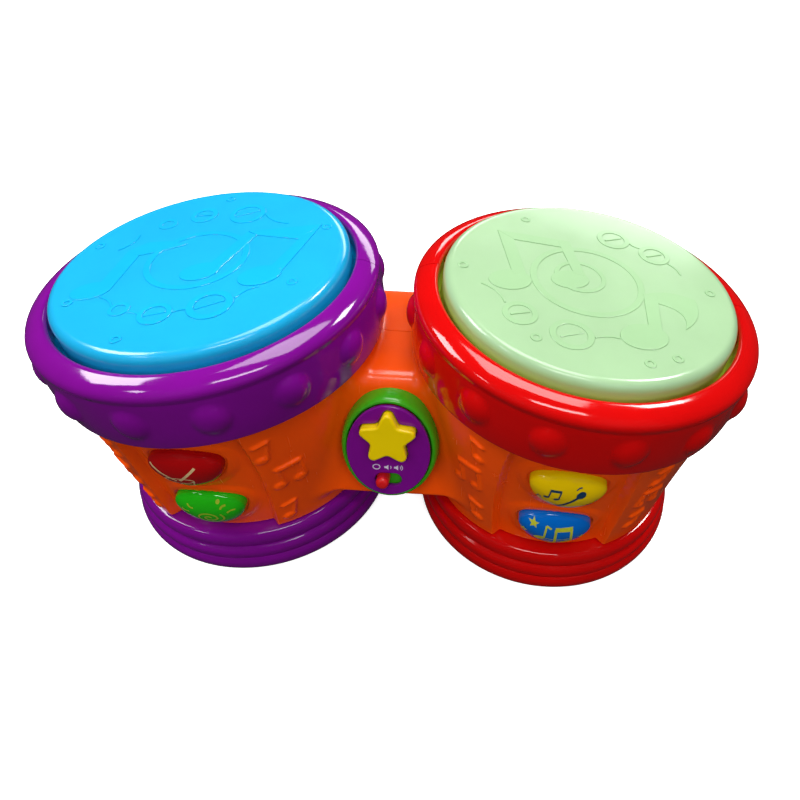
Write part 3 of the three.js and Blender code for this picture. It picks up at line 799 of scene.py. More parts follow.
def button_relief(points, side, amount):
    """Raised pad round each push button and the well that the button sits in."""
    out = np.zeros(points.shape[:2])
    for h in (UPPER_H, LOWER_H):
        local = seen_from_button(points, side, h)
        u, v = local[..., 0], local[..., 1]
        near = (np.hypot(u, v) < 26) & (np.abs(local[..., 2]) < 12) & (amount > 0.5)
        distance = line_distance(u[near], v[near], PICK_LOOP, 8.0)
        signed = np.where(inside_pick(u[near], v[near]), -distance, distance)
        raised = 0.8 * (1 - smooth(2.0, 6.0, signed))
        well = -WELL_DEPTH * (1 - smooth(0.05, 0.45, signed))
        out[near] = np.where(signed < 1.2, np.minimum(out[near], 0) + raised + well,
                             np.maximum(out[near], raised))
    return out


def wall_thetas(side):
    """Columns of the drum wall: close together where the surface has detail."""
    p = side["panel"]
    return spans((p - 68, 0.55), (p - 20, 0.38), (p + 20, 0.55), (p + 68, 2.2), (p + 292, 1))[:-1]


def drum_wall(side_name):
    side = SIDES[side_name]
    thetas = wall_thetas(side)
    heights = spans((BODY_LOW, 0.45), (BODY_SHOULDER, 1.2), (BODY_SHOULDER + 3, 1))
    t, h = thetas[:, None], heights[None, :]
    scale = panel_half_width(np.minimum(h, BODY_SHOULDER)) / PANEL_HALF
    offset = np.abs(t - side["panel"])
    recess = 1 - smooth(24.2 * scale, 26.3 * scale, offset)
    r = body_radius(np.minimum(h, BODY_SHOULDER)) - RECESS * recess
    rad = np.radians(t)
    flat = bend(side["s"], r * np.cos(rad), r * np.sin(rad), h + 0 * t)
    r = r + note_relief(side_name, t, h) * (1 - recess)
    r = r + button_relief(flat, side, recess)
    edge = 1.1 * (1 - smooth(BODY_LOW, BODY_LOW + 1.2, h)) ** 2
    r = r - edge
    points = bend(side["s"], r * np.cos(rad), r * np.sin(rad), h + 0 * t)
    turned_in = r[:, :1] - LIP
    under = bend(side["s"], turned_in * np.cos(rad), turned_in * np.sin(rad), 0 * t + BODY_LOW)
    return np.concatenate([under, points], axis=1)


def wall_x(y, z, side_name):
    """How far from the middle plane a drum's outer wall is, at a given y and z."""
    h = z * 1.0
    for _ in range(12):
        tilt = SPLAY * np.clip(h, 0, BEND_TOP) / BEND_TOP
        w = np.sqrt(np.maximum(body_radius(h) ** 2 - y * y, 1))
        arc = BEND_TOP / SPLAY
        h = h + z - (arc * np.sin(tilt) + w * np.sin(tilt))
    return DRUM_X + arc * (1 - np.cos(tilt)) - w * np.cos(tilt)


def front_y(z):
    return POD_ORIGIN.y + POD_DEPTH / math.cos(POD_LEAN) + (z - POD_ORIGIN.z) * math.tan(POD_LEAN)


DOOR = {"x": 18.6, "low": 38.8, "high": 95.2, "thick": 2.0, "screw": 91.8}
POCKET = {"x": 17.0, "low": 40.2, "high": 88.2, "floor": 23.2}


def bridge_section():
    """The bridge's outline in y and z, as points no more than 3 mm apart."""
    top, low = BRIDGE_TOP, BRIDGE_LOW
    corners = [(BRIDGE_BACK, low), (BRIDGE_BACK, top), (front_y(top), top), (front_y(low), low)]
    outline = rounded(corners, [1.2, 1.6, 8.0, 2.0], 9)
    out = []
    for a, b in zip(outline, outline[1:] + outline[:1]):
        length = math.dist(a, b)
        count = max(1, round(length / 2.0))
        out.extend((a[0] + (b[0] - a[0]) * i / count, a[1] + (b[1] - a[1]) * i / count) for i in range(count))
    return np.array(out)


def bridge_normals(section):
    ahead, behind = np.roll(section, -1, 0), np.roll(section, 1, 0)
    tangent = ahead - behind
    normal = np.stack([tangent[:, 1], -tangent[:, 0]], -1)
    normal /= np.linalg.norm(normal, axis=1)[:, None]
    middle = section.mean(0)
    if ((section - middle) * normal).sum() < 0:
        normal = -normal
    return normal


def bridge_grid():
    section = bridge_section()
    normal = bridge_normals(section)
    fillet = 5.0 + 2.5 * np.clip(-normal[:, 0], 0, 1) - 1.5 * np.clip(normal[:, 0], 0, 1)
    columns = []
    turns = np.linspace(0, math.pi / 2, 9)
    flare = [(1 - math.sin(a), 1 - math.cos(a)) for a in turns]
    for reach, rise in reversed(flare):
        columns.append(bridge_column(section, normal, fillet, reach, rise, -1))
    start = columns[-1][:, 0]
    for k in range(1, 24):
        x = start + (-2 * start) * k / 24
        columns.append(np.column_stack([x, section]))
    for reach, rise in flare:
        columns.append(bridge_column(section, normal, fillet, reach, rise, 1))
    return np.array(columns)


def bridge_column(section, normal, fillet, reach, rise, sign):
    """One ring of the bridge: reach is the share of the fillet left before the wall, rise its lift."""
    moved = section + normal * (fillet * rise)[:, None]
    x = wall_x(moved[:, 0], moved[:, 1], "right") - fillet * reach
    if rise >= 1:
        x = x + 0.6
    return np.column_stack([sign * x, moved])


def drop_faces(obj, doomed):
    """Removes the faces picked out by an array of truths, one for each face."""
    with editing(obj) as bm:
        bm.faces.ensure_lookup_table()
        bmesh.ops.delete(bm, geom=[bm.faces[i] for i in np.nonzero(doomed)[0]], context="FACES")


def face_centres(obj):
    centres = np.zeros(3 * len(obj.data.polygons))
    obj.data.polygons.foreach_get("center", centres)
    return centres.reshape(-1, 3) / MM


def open_buttons(obj):
    """Clears the housing from under the push buttons."""
    centres = face_centres(obj)
    doomed = np.zeros(len(centres), bool)
    for side in SIDES.values():
        for h in (UPPER_H, LOWER_H):
            u, v, n = seen_from_button(centres, side, h).T
            doomed |= inside_pick(u * 1.06, v * 1.06) & (np.abs(n) < 8)
    drop_faces(obj, doomed)


def with_borders(faces):
    """The faces with all their edges and corners."""
    return faces + list({e for f in faces for e in f.edges}) + list({v for f in faces for v in f.verts})


def open_pocket(obj):
    """Cuts the door's rectangle out of the bridge's flat back."""
    x, low, high = DOOR["x"] + GAP, DOOR["low"] - GAP, DOOR["high"] + GAP
    across, up = (1, 0, 0), (0, 0, 1)
    cuts = [((x, 0, 0), across), ((-x, 0, 0), across), ((0, 0, low), up), ((0, 0, high), up)]
    with editing(obj) as bm:
        for point, normal in cuts:
            flat = [f for f in bm.faces if all(abs(v.co.y / MM - BRIDGE_BACK) < 0.02 for v in f.verts)]
            geom = with_borders(flat)
            bmesh.ops.bisect_plane(bm, geom=geom, plane_co=Vector(point) * MM, plane_no=normal)
    cx, cy, cz = face_centres(obj).T
    drop_faces(obj, (np.abs(cx) < x) & (np.abs(cy - BRIDGE_BACK) < 0.02) & (cz > low) & (cz < high))


def build_pocket():
    """The battery pocket: the door's ledge, then a deep rectangular hollow."""
    x, low, high = DOOR["x"] + GAP, DOOR["low"] - GAP, DOOR["high"] + GAP
    ledge = BRIDGE_BACK - DOOR["thick"] - GAP
    loops = []
    deep = (POCKET["x"], POCKET["low"], POCKET["high"])
    floor = POCKET["floor"]
    steps = [(x, low, high, BRIDGE_BACK), (x, low, high, ledge), (*deep, ledge), (*deep, floor)]
    steps.append((0.5, 60.0, 61.0, floor))
    for half, bottom, top, y in steps:
        corners = [(-half, y, bottom), (half, y, bottom), (half, y, top), (-half, y, top)]
        loops.append(dense_loop_3d(corners, 6))
    pocket = surface("battery_pocket", np.array(loops), 30, wrap_v=True)
    close_poles(pocket, 5.0)
    dress(pocket, ORANGE, slot="orange_body")


WELL_RADIUS = 3.6 * MM
WELL_SIDES = 20


def open_wells(obj):
    """Sinks a round well for each case screw into the rear wall."""
    with editing(obj) as bm:
        for i in range(4):
            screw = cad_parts[f"shell_screw_{i + 1}"]
            corners = np.array([screw.matrix_world @ Vector(c) for c in screw.bound_box])
            x, _, z = (corners.min(0) + corners.max(0)) / 2
            sink_well(bm, x, z, corners[:, 1].max() + GAP * MM)


def sink_well(bm, x, z, bottom):
    """Cuts the wall along a many-sided outline, opens it and draws its edge down to a floor."""
    angles = [2 * math.pi * k / WELL_SIDES for k in range(WELL_SIDES)]

    def reach(point):
        return max(math.cos(a) * (point.x - x) + math.sin(a) * (point.z - z) for a in angles)

    faces = [f for f in bm.faces if f.verts[0].co.y > bottom and reach(f.verts[0].co) < 3 * WELL_RADIUS]
    geom = with_borders(faces)
    for a in angles:
        normal = Vector((math.cos(a), 0, math.sin(a)))
        spot = Vector((x, 0, z)) + normal * WELL_RADIUS
        geom = bmesh.ops.bisect_plane(bm, geom=geom, plane_co=spot, plane_no=normal)["geom"]
    faces = [g for g in geom if isinstance(g, bmesh.types.BMFace)]
    inside = [f for f in faces if reach(f.calc_center_median()) < WELL_RADIUS]
    edges = {e for f in inside for e in f.edges}
    bmesh.ops.delete(bm, geom=inside, context="FACES")
    border = [e for e in edges if e.is_valid and e.is_boundary]
    drawn = bmesh.ops.extrude_edge_only(bm, edges=border)["geom"]
    for part in drawn:
        if isinstance(part, bmesh.types.BMVert):
            part.co.y = bottom
    bmesh.ops.holes_fill(bm, edges=[g for g in drawn if isinstance(g, bmesh.types.BMEdge)], sides=0)


def dense_loop_3d(points, steps):
    points = np.array(points, float)
    ends = np.roll(points, -1, 0)
    t = np.arange(steps)[:, None, None] / steps
    return (points + (ends - points) * t).transpose(1, 0, 2).reshape(-1, 3)


def build_housing():
    soup = Soup()
    for name in SIDES:
        soup.grid(drum_wall(name), wrap_u=True)
    soup.grid(bridge_grid(), wrap_v=True)
    whole = soup.piece("housing_whole")
    outward(whole)
    open_buttons(whole)
    open_pocket(whole)
    open_wells(whole)
    for keep_front, end in ((True, "front"), (False, "rear")):
        half = split_at_seam(whole, f"housing_{end}", keep_front)
        dress(half, ORANGE, slot="orange_body", replaces=[f"body_{end}"])
    bpy.data.objects.remove(whole)
    build_pocket()


# ---------------------------------------------------------------- rims
def rim_profile():
    """Rim section from the lower edge, up the band, over the rounded top and down the inside."""
    band_low = [(68.8, 97.9), (72.2, 97.9), (73.0, 98.5), (73.9, 105), (74.2, 112), (74.2, 118.6)]
    waist = [(74.1, 120.6), (74.05, 121.8), (74.3, 122.8)]
    bulge = [(74.6, 124.0), (74.45, 125.2), (73.6, 126.6), (71.9, 128.0), (69.6, 129.2), (67.4, 129.9)]
    lip = [(66.2, 130.0), (65.35, 129.6), (64.8, 128.8), (64.7, 127.8), (64.7, 121.6), (66.6, 121.6)]
    curve = catmull(band_low + waist + bulge + lip, 4, closed=False)
    inner = np.array([(67.0, 126.4), (71.2, 122.6), (71.0, 100.1), (68.8, 99.7), (68.8, 97.9)])
    return np.vstack([curve, inner])


BAND_RADIUS = 74.2
BUMP_HEIGHT = 111.6
BUMP_RADIUS = 7.4
BUMP_RISE = 2.6


def bump_shift(start):
    def shift(theta, h):
        step = 360.0 / BUMPS
        off = (theta - start + step / 2) % step - step / 2
        a = np.radians(off) * BAND_RADIUS
        q = (a / BUMP_RADIUS) ** 2 + ((h - BUMP_HEIGHT) / BUMP_RADIUS) ** 2
        return BUMP_RISE * np.clip(1 - q, 0, 1) ** 0.75

    return shift


def build_rims():
    profile = rim_profile()
    outer = profile[:, 0] > 72.0
    for name, material, slot in (("left", PURPLE, "purple_trim"), ("right", RED, "red_trim")):
        side = SIDES[name]
        bump = bump_shift(side["bump"])

        def shift(theta, h):
            return bump(theta, h) * outer[None, :]

        points = turned(side["s"], np.arange(0, 360, 0.75), profile[:, 0], profile[:, 1], shift)
        whole = surface(f"rim_{name}_whole", points, 40, wrap_u=True)
        outward(whole)
        for keep_front, half in ((True, "front"), (False, "rear")):
            piece = split_at_seam(whole, f"drum_rim_{name}_{half}", keep_front)
            dress(piece, material, slot=slot, replaces=[f"rim_{name}_{half}"])
        bpy.data.objects.remove(whole)


# ---------------------------------------------------------------- drum heads
def ring(cx, cy, rx, ry=None, turn=0.0, count=40):
    ry = rx if ry is None else ry
    t = np.linspace(0, 2 * math.pi, count)
    c, s = math.cos(turn), math.sin(turn)
    x, y = rx * np.cos(t), ry * np.sin(t)
    return np.column_stack([cx + c * x - s * y, cy + s * x + c * y])


def bow(a, b, sag, count=9):
    """A shallow arc from a to b, bulging to its left by sag."""
    a, b = np.array(a, float), np.array(b, float)
    along = b - a
    left = np.array([-along[1], along[0]]) / np.linalg.norm(along)
    t = np.linspace(0, 1, count)[:, None]
    return a + along * t + left * sag * 4 * t * (1 - t)


def stroke(points, width, taper=1.0, step=0.5):
    """A ribbon's two edges along a line of points, for flat prints."""
    pts = np.asarray(points, float)
    lengths = np.concatenate([[0], np.cumsum(np.linalg.norm(np.diff(pts, axis=0), axis=1))])
    count = max(2, int(lengths[-1] / step) + 1)
    at = np.linspace(0, lengths[-1], count)
    line = np.column_stack([np.interp(at, lengths, pts[:, k]) for k in (0, 1)])
    tangent = np.gradient(line, axis=0)
    tangent /= np.maximum(np.linalg.norm(tangent, axis=1), 1e-9)[:, None]
    normal = np.column_stack([-tangent[:, 1], tangent[:, 0]])
    half = (width / 2 * (1 + (taper - 1) * at / lengths[-1]))[:, None]
    across = np.linspace(-1, 1, 4)
    return np.array([line + normal * half * a for a in across])


def annulus(cx, cy, outer, inner, count=48):
    return [ring(cx, cy, outer, count=count)[:-1], ring(cx, cy, inner, count=count)[:-1]]


def disc(cx, cy, rx, ry, turn=0.0):
    return [ring(cx, cy, rx, ry, turn, 40)[:-1]]


def band(points, width):
    """A raised line of even width as one closed outline."""
    ribbon = stroke(points, width, step=1.5)
    return [np.vstack([ribbon[0], ribbon[-1][::-1]])]


def shape(*points):
    return [list(points)]


LEFT_PLATES = [
    annulus(-2.5, 1, 22.3, 19.4, 96),
    disc(-40, -20.5, 8.2, 6.0, 0.25),
    shape((-38.5, -18), (-31.8, -21), (-30, 5), (-36.5, 9)),
    shape((-36.5, 9), (-30, 5), (-20, 8.2), (-11, 13), (-20, 16), (-30, 15.5)),
    shape((13.6, 21.6), (19, 18.5), (9.4, -9), (4.2, -5)),
    shape((14, 22), (47, 26), (39, 14), (19, 18.5)),
    shape((47, 26), (39, 14), (31, -10), (36.8, -14)),
    disc(2.2, -8.8, 8.4, 6.2, 0.3),
    disc(29, -13, 9.0, 6.8, 0.35),
    annulus(-27, 31, 4.4, 2.7),
    annulus(-12, 38, 6.4, 4.2),
    annulus(9, 38, 8.4, 6.0),
    band([(3.6, 35.8), (14.0, 40.6)], 0.9),
    band([(-15.6, 38), (-8.4, 38)], 0.9),
    annulus(-22, -33.5, 4.4, 2.7),
    annulus(-6, -37, 6.8, 4.6),
    annulus(14.5, -32, 9.2, 6.3),
    band([(9.4, -34.6), (19.6, -29.4)], 0.9),
    band([(-10, -38.2), (-2, -35.8)], 0.9),
    band(bow((-37, 22), (-42, 10), 2.0), 0.9),
    band(bow((17.5, 38), (31, 28), -2.0), 0.9),
    band(bow((-34, -25), (-26, -31.5), 1.2), 0.9),
    band(bow((-18, -35.5), (-12.5, -37), 0.6), 0.9),
    band(bow((0.8, -36), (6, -34.5), 0.5), 0.9),
    band(bow((23.5, -28), (31, -20.5), 1.4), 0.9),
]
RIGHT_PLATES = [
    annulus(-2, 0, 24.6, 21.7, 96),
    annulus(-5, 2, 11.2, 9.2, 64),
    disc(-35, -7, 9.2, 6.8, 0.3),
    disc(-9.5, -1, 8.4, 6.2, 0.3),
    shape((-41, 30), (-8, 28.6), (-11.5, 23.0), (-33.5, 24)),
    shape((-41, 30), (-33.5, 24), (-28, -2), (-34, -3)),
    shape((-13.5, 27.5), (-8, 28.6), (-2.6, 2.5), (-7.6, 3.5)),
    disc(18, -33, 10.0, 7.6, 0.3),
    shape((21.5, -4.5), (27.5, -4.5), (25.6, -32), (20.4, -30)),
    [np.vstack([
        bow((22, -4.5), (44, -4), 3.0),
        bow((44, -4), (36, -25), 3.0)[1:],
        bow((36, -25), (27.5, -10), -5.0)[1:],
    ])],
    annulus(-31, -28.5, 7.2, 4.8),
    annulus(-11, -37.5, 8.8, 6.2),
    annulus(13, 36, 7.6, 5.2),
    annulus(31, 27, 7.2, 4.9),
    band([(-15.6, -39.6), (-6.4, -35.4)], 0.9),
    band([(9, 34), (17, 38)], 0.9),
    band([(27.4, 25.2), (34.6, 28.8)], 0.9),
    band([(-34.8, -30), (-27.2, -27)], 0.9),
    band(bow((-47, -12), (-37, -23), 2.0), 0.9),
    band(bow((-2, -37.5), (9, -36), 1.0), 0.9),
    band(bow((36.5, 21.8), (41, 14), 1.0), 0.9),
    band(bow((20.5, 34.5), (25, 31.5), -0.6), 0.9),
]
PIPS = {
    "left": [(-46, -28.5), (-15, -52), (44, -18), (-4, 53), (49.5, 24), (-52, 14)],
    "right": [(-55, -1), (-25, -42), (18, -48.5), (29.5, -43.5), (52, 3), (-28, 43)],
}
PLATE_RISE = 0.3


def joined(name, pieces):
    """One piece from several, which are removed."""
    bm = bmesh.new()
    for obj in pieces:
        bm.from_mesh(obj.data)
    mesh = bpy.data.meshes.new(name)
    bm.to_mesh(mesh)
    bm.free()
    for obj in pieces:
        bpy.data.objects.remove(obj)
    return shaded(name, mesh, 8)


def build_head_relief(name, plates, material, slot):
    """The moulded drawing on a head: flat raised shapes with eased edges."""
    s = SIDES[name]["s"]
    shapes = plates + [annulus(cx, cy, 2.3, 1.2, 24) for cx, cy in PIPS[name]]
    made = [
        plate(f"relief_{name}_{i}", outlines, -0.5, PLATE_RISE + 0.012 * (i % 9), 0.14, 8, 2)
        for i, outlines in enumerate(shapes)
    ]
    relief = joined(f"head_relief_{name}", made)
    tilt = SPLAY
    u = Vector((math.cos(tilt), 0, -s * math.sin(tilt)))
    placed(relief, local_frame(bend_point(s, 0, 0, HEAD_TOP), u, Vector((0, 1, 0))))
    dress(relief, material, f"head_{name}", slot)


HEAD_TOP = 135.4
HEAD_RADIUS = 62.9


def head_profile():
    """Head section from the middle of the top, round the edge and down to the flange."""
    top = [(r, HEAD_TOP) for r in spans((0.4, 4.0), (56.0, 0.7), (58.6, 1))]
    centre_r, centre_h, radius = 58.8, 131.3, 4.1
    arc = [
        (centre_r + radius * math.cos(a), centre_h + radius * math.sin(a))
        for a in np.radians(np.linspace(88, 0, 16))
    ]
    wall = [(HEAD_RADIUS, h) for h in (129, 127, 125, 123, 121.6)]
    flange = [(63.3, 121.2), (66.0, 121.2), (66.2, 121.0), (66.2, 119.2), (66.0, 119.0), (60.7, 119.0)]
    inside = [(60.7, 131.8), (59.4, 133.1), (0.4, 133.1)]
    return np.array(top + arc + wall + flange + inside)


def build_heads():
    profile = head_profile()
    thetas = np.arange(0, 360, 1.0)
    looks = {
        "left": (BLUE, BLUE_PLATE, "head_blue", LEFT_PLATES),
        "right": (MINT, MINT_PLATE, "head_mint", RIGHT_PLATES),
    }
    for name, (material, plate_material, slot, plates) in looks.items():
        points = turned(SIDES[name]["s"], thetas, profile[:, 0], profile[:, 1])
        head = surface(f"drum_head_{name}", points, 60, wrap_u=True)
        close_poles(head)
        dress(head, material, f"head_{name}", slot, [f"head_{name}"])
        build_head_relief(name, plates, plate_material, slot)


FOAM_RADIUS = 63.6
FOAM_LOW = 112.6
FOAM_TALL = 6.1


def build_foam():
    """Three springy foam blocks under each head's flange."""
    for name, side in SIDES.items():
        s = side["s"]
        foot = bend_point(s, 0, 0, FOAM_LOW)
        u = Vector((math.cos(SPLAY), 0, -s * math.sin(SPLAY)))
        m = local_frame(foot, u, Vector((0, 1, 0)))
        for i in range(3):
            outline = box_outline(FOAM_RADIUS, 0, 3.9, 11.8, 0.7)
            block = plate(f"foam_spring_{name}_{i + 1}", [outline], 0.03, FOAM_TALL - 0.03, 0.45)
            block.data.transform(Matrix.Rotation(math.radians(90 + 120 * i), 4, "Z"))
            dress(placed(block, m), FOAM, replaces=[f"head_foam_{name}_{i + 1}"])
            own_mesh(block)


def close_poles(obj, size=None):
    """Fills the holes left in a surface: those whose edges are shorter than size, or all of them."""
    reach = math.inf if size is None else size * MM
    with editing(obj) as bm:
        edges = [e for e in bm.edges if e.is_boundary and e.calc_length() < reach]
        bmesh.ops.holes_fill(bm, edges=edges, sides=0)
        bmesh.ops.recalc_face_normals(bm, faces=bm.faces)


# ---------------------------------------------------------------- bases
def base_profile():
    outer = [(59.8, 1.2), (60.0, 0.3), (60.5, 0.0), (62.4, 0.0), (63.6, 0.7)]
    outer += [(64.9, 2.4), (65.5, 4.6), (65.4, 6.8)]
    outer += [(64.5, 8.6), (63.9, 9.2), (64.2, 9.9), (64.7, 11.6), (64.6, 13.6), (63.7, 15.2), (62.7, 15.9)]
    outer += [(62.3, 16.4), (62.8, 17.4), (63.3, 19.6), (63.0, 22.0), (61.9, 23.7), (60.6, 24.4)]
    curve = catmull(outer, 4, closed=False)
    inner = [(53.0, 24.4), (53.0, 22.4), (60.2, 22.0), (60.0, 15.4)]
    inner += [(61.2, 8.0), (60.6, 3.4), (59.8, 3.4), (59.8, 1.2)]
    return np.vstack([curve, np.array(inner)])


POST_REACH = 47


def base_posts(name):
    """Where the two screws sit under a base, measured from the drum's axis."""
    s = SIDES[name]["s"]
    angles = [math.radians(a) for a in (-90 + 45 * s, 90)]
    return [(POST_REACH * math.cos(a), POST_REACH * math.sin(a)) for a in angles]


def build_bases():
    profile = base_profile()
    thetas = np.arange(0, 360, 1.0)
    for name, material, slot in (("left", PURPLE, "purple_trim"), ("right", RED, "red_trim")):
        s = SIDES[name]["s"]
        points = turned(s, thetas, profile[:, 0], profile[:, 1])
        ring_piece = surface(f"drum_base_{name}", points, 40, wrap_u=True)
        outward(ring_piece)
        dress(ring_piece, material, slot=slot, replaces=[f"base_{name}"])
        outlines = [ellipse_outline(59.85, 59.85, 120)]
        outlines += [ring(x, y, 3.5, count=25)[:-1] for x, y in base_posts(name)]
        if name == "left":
            for i in range(5):
                y = (i - 2) * 7
                outlines.append(slot_outline(2 * math.sqrt(22 * 22 - y * y), 3.0, 0, y, 6))
        floor = plate(f"base_plate_{name}", outlines, 1.2, 3.4, 0.25)
        floor.data.transform(Matrix.Translation((s * DRUM_X * MM, 0, 0)))
        dress(floor, material, slot=slot)


# ---------------------------------------------------------------- push buttons
DOME_LOW = 0.7
DOME_RISE = 6.2
BUTTON_SHARE = 1 - 0.4 / 14


def dome_height(q):
    """Height of a push button's dome at a share q of the way out to its edge."""
    return DOME_LOW + DOME_RISE * np.clip(1 - q**2.1, 0, 1) ** 0.55


def button_mesh(name):
    outline = PICK * BUTTON_SHARE
    shares = np.concatenate([np.linspace(0.02, 0.9, 34), np.linspace(0.915, 1.0, 12)])
    rows = [np.column_stack([outline * q, np.full(len(outline), dome_height(q))]) for q in shares]
    for q, depth in ((1.0, -5.6), (1.1, -5.8), (1.1, -7.0), (0.2, -7.0), (0.2, -11.2)):
        rows.append(np.column_stack([outline * q, np.full(len(outline), depth)]))
    obj = surface(name, np.array(rows), 50, wrap_v=True)
    close_poles(obj)
    return obj


def blot(outline, rings=4):
    """A filled print: rings of the outline drawn in towards its middle."""
    outline = np.asarray(outline, float)
    middle = outline.mean(0)
    return np.array([middle + (outline - middle) * q for q in np.linspace(0.02, 1, rings + 1)])


def star_points(cx, cy, r, inner=0.45):
    out = []
    for i in range(10):
        a = math.pi / 2 + i * math.pi / 5
        k = r if i % 2 == 0 else r * inner
        out.append((cx + k * math.cos(a), cy + k * math.sin(a)))
    return dense_loop(out, 4)


def dense_loop(points, steps):
    out = []
    for a, b in zip(points, points[1:] + points[:1]):
        out.extend((a[0] + (b[0] - a[0]) * i / steps, a[1] + (b[1] - a[1]) * i / steps) for i in range(steps))
    return out


def print_on(name, strokes, blots, height, material, body, slot, matrix):
    """Ink laid on a surface given by height(u, v), as thin raised meshes."""
    soup = Soup()
    for ribbon in strokes:
        soup.grid(with_height(ribbon, height), flip=True)
    for rings in blots:
        soup.grid(with_height(rings, height), wrap_v=True)
    obj = soup.piece(name, 0)
    face_along(obj, Vector((0, 0, 1)))
    placed(obj, matrix)
    return dress(obj, material, body, slot)


def face_along(obj, direction):
    """Turns every face of a flat print to look along a direction."""
    with editing(obj) as bm:
        bmesh.ops.reverse_faces(bm, faces=[f for f in bm.faces if f.normal.dot(direction) < 0])


def with_height(points, height):
    u, v = points[..., 0], points[..., 1]
    return np.stack([u, v, height(u, v)], -1)


def on_dome(u, v):
    q = np.hypot(u, v) / (pick_reach(np.arctan2(v, u)) * BUTTON_SHARE)
    return dome_height(np.clip(q, 0, 1)) + 0.05


def small_note(x, y, k, flip=1):
    """Strokes and a blot for a small printed eighth note."""
    f = flip
    stem = [(x + 0.9 * k * f, y), (x + 1.1 * k * f, y + 4.2 * k)]
    flag = [stem[1], (x + 2.6 * k * f, y + 3.4 * k), (x + 2.8 * k * f, y + 2.4 * k)]
    lines = [stroke(stem, 0.55 * k), stroke(flag, 0.7 * k)]
    return lines, [blot(ring(x, y, 1.1 * k, 0.8 * k, 0.4, 13)[:-1])]


def small_pair(x, y, k):
    lines = [stroke([(x + 0.8 * k, y), (x + 1.2 * k, y + 4.4 * k)], 0.55 * k),
             stroke([(x + 4.6 * k, y + 0.2 * k), (x + 5.0 * k, y + 4.8 * k)], 0.55 * k),
             stroke([(x + 1.0 * k, y + 4.3 * k), (x + 5.2 * k, y + 4.8 * k)], 1.2 * k)]
    heads = [(x, y), (x + 3.8 * k, y + 0.2 * k)]
    blots = [blot(ring(cx, cy, 1.1 * k, 0.8 * k, 0.4, 13)[:-1]) for cx, cy in heads]
    return lines, blots


def red_print():
    """A small drum with two crossed sticks."""
    strokes = [stroke([(-9.2, 1.6), (-1.4, -4.6)], 0.9), stroke([(6.4, 1.8), (-0.2, -4.4)], 0.9)]
    strokes += [stroke(ring(-0.6, -4.6, 5.0, 1.5, 0, 30), 0.45), stroke([(-5.6, -4.8), (-4.2, -8.2)], 0.45)]
    strokes += [stroke([(4.4, -4.8), (3.0, -8.2)], 0.45), stroke(bow((-4.2, -8.2), (3.0, -8.2), -1.1), 0.45)]
    strokes += [stroke([(-4.8, -6.2), (-2.4, -8.6)], 0.35), stroke([(-2.4, -8.6), (0.2, -6.0)], 0.35)]
    strokes += [stroke([(0.2, -6.0), (2.4, -8.4)], 0.35)]
    return strokes, []


def green_print():
    """A swirl with short rays round it."""
    turns = np.linspace(0, 4.2 * math.pi, 60)
    swirl = [(0.4 + (0.5 + 0.36 * t) * math.cos(t), -3.4 + (0.35 + 0.27 * t) * math.sin(t)) for t in turns]
    strokes = [stroke(swirl, 0.7)]
    for a in (25, 50, 130, 155, 180):
        c, s = math.cos(math.radians(a)), math.sin(math.radians(a))
        near, far = (0.4 + 7.4 * c, -3.2 + 5.8 * s), (0.4 + 10.4 * c, -3.2 + 7.6 * s)
        strokes.append(stroke(bow(near, far, 0.5), 0.7))
    return strokes, [blot(ring(4.6, 4.0, 0.7, 0.7, 0, 13)[:-1])]


def yellow_print():
    """Two shakers crossed at their handles, with small notes on both sides."""
    strokes = [stroke([(-1.8, -8.6), (4.6, -0.4)], 1.3, 0.7)]
    strokes += [stroke(bow((-1.2, -9.6), (8.2, -6.6), -1.0), 1.1, 0.8)]
    blots = [blot(ring(5.2, 0.5, 1.7, 1.4, 0.9, 17)[:-1]), blot(ring(8.9, -6.0, 1.5, 1.0, 0.5, 17)[:-1])]
    strokes += [stroke(bow((3.4, 2.4), (5.0, 3.4), 0.3), 0.45)]
    strokes += [stroke(bow((10.8, -5.6), (11.2, -4.2), 0.3), 0.4)]
    notes = [small_pair(-5.4, -3.0, 0.85), small_note(-8.6, -6.2, 0.62), small_note(12.0, -5.4, 0.5, -1)]
    for lines, dots in notes:
        strokes += lines
        blots += dots
    return strokes, blots


def blue_print():
    """Stars and a joined pair of notes on a wavy staff."""
    strokes = [stroke(bow((-4.4, y), (7.4, y + 0.6), -1.2, 15), 0.3) for y in (-6.6, -5.0, -3.4)]
    strokes += [stroke([(1.6, -8.2), (1.0, 1.6)], 0.9), stroke([(7.0, -6.0), (6.2, 2.0)], 0.9)]
    strokes += [stroke([(0.8, 1.4), (6.6, 2.0)], 1.9), stroke([(-2.6, -4.0), (-2.4, 2.6)], 0.7)]
    strokes += [stroke([(-2.4, 2.6), (-0.6, 1.6)], 0.7)]
    blots = [blot(ring(x, y, 1.9, 1.3, 0.4, 17)[:-1]) for x, y in ((-0.2, -8.4), (5.3, -6.2), (-4.2, -4.4))]
    stars = [(-6.8, 2.4, 1.9), (-9.8, -2.6, 1.5), (10.4, -3.2, 1.5)]
    blots += [blot(star_points(x, y, r)) for x, y, r in stars]
    return strokes, blots


PRINT_SCALE = 1.28
PRINT_LIFT = 3.8


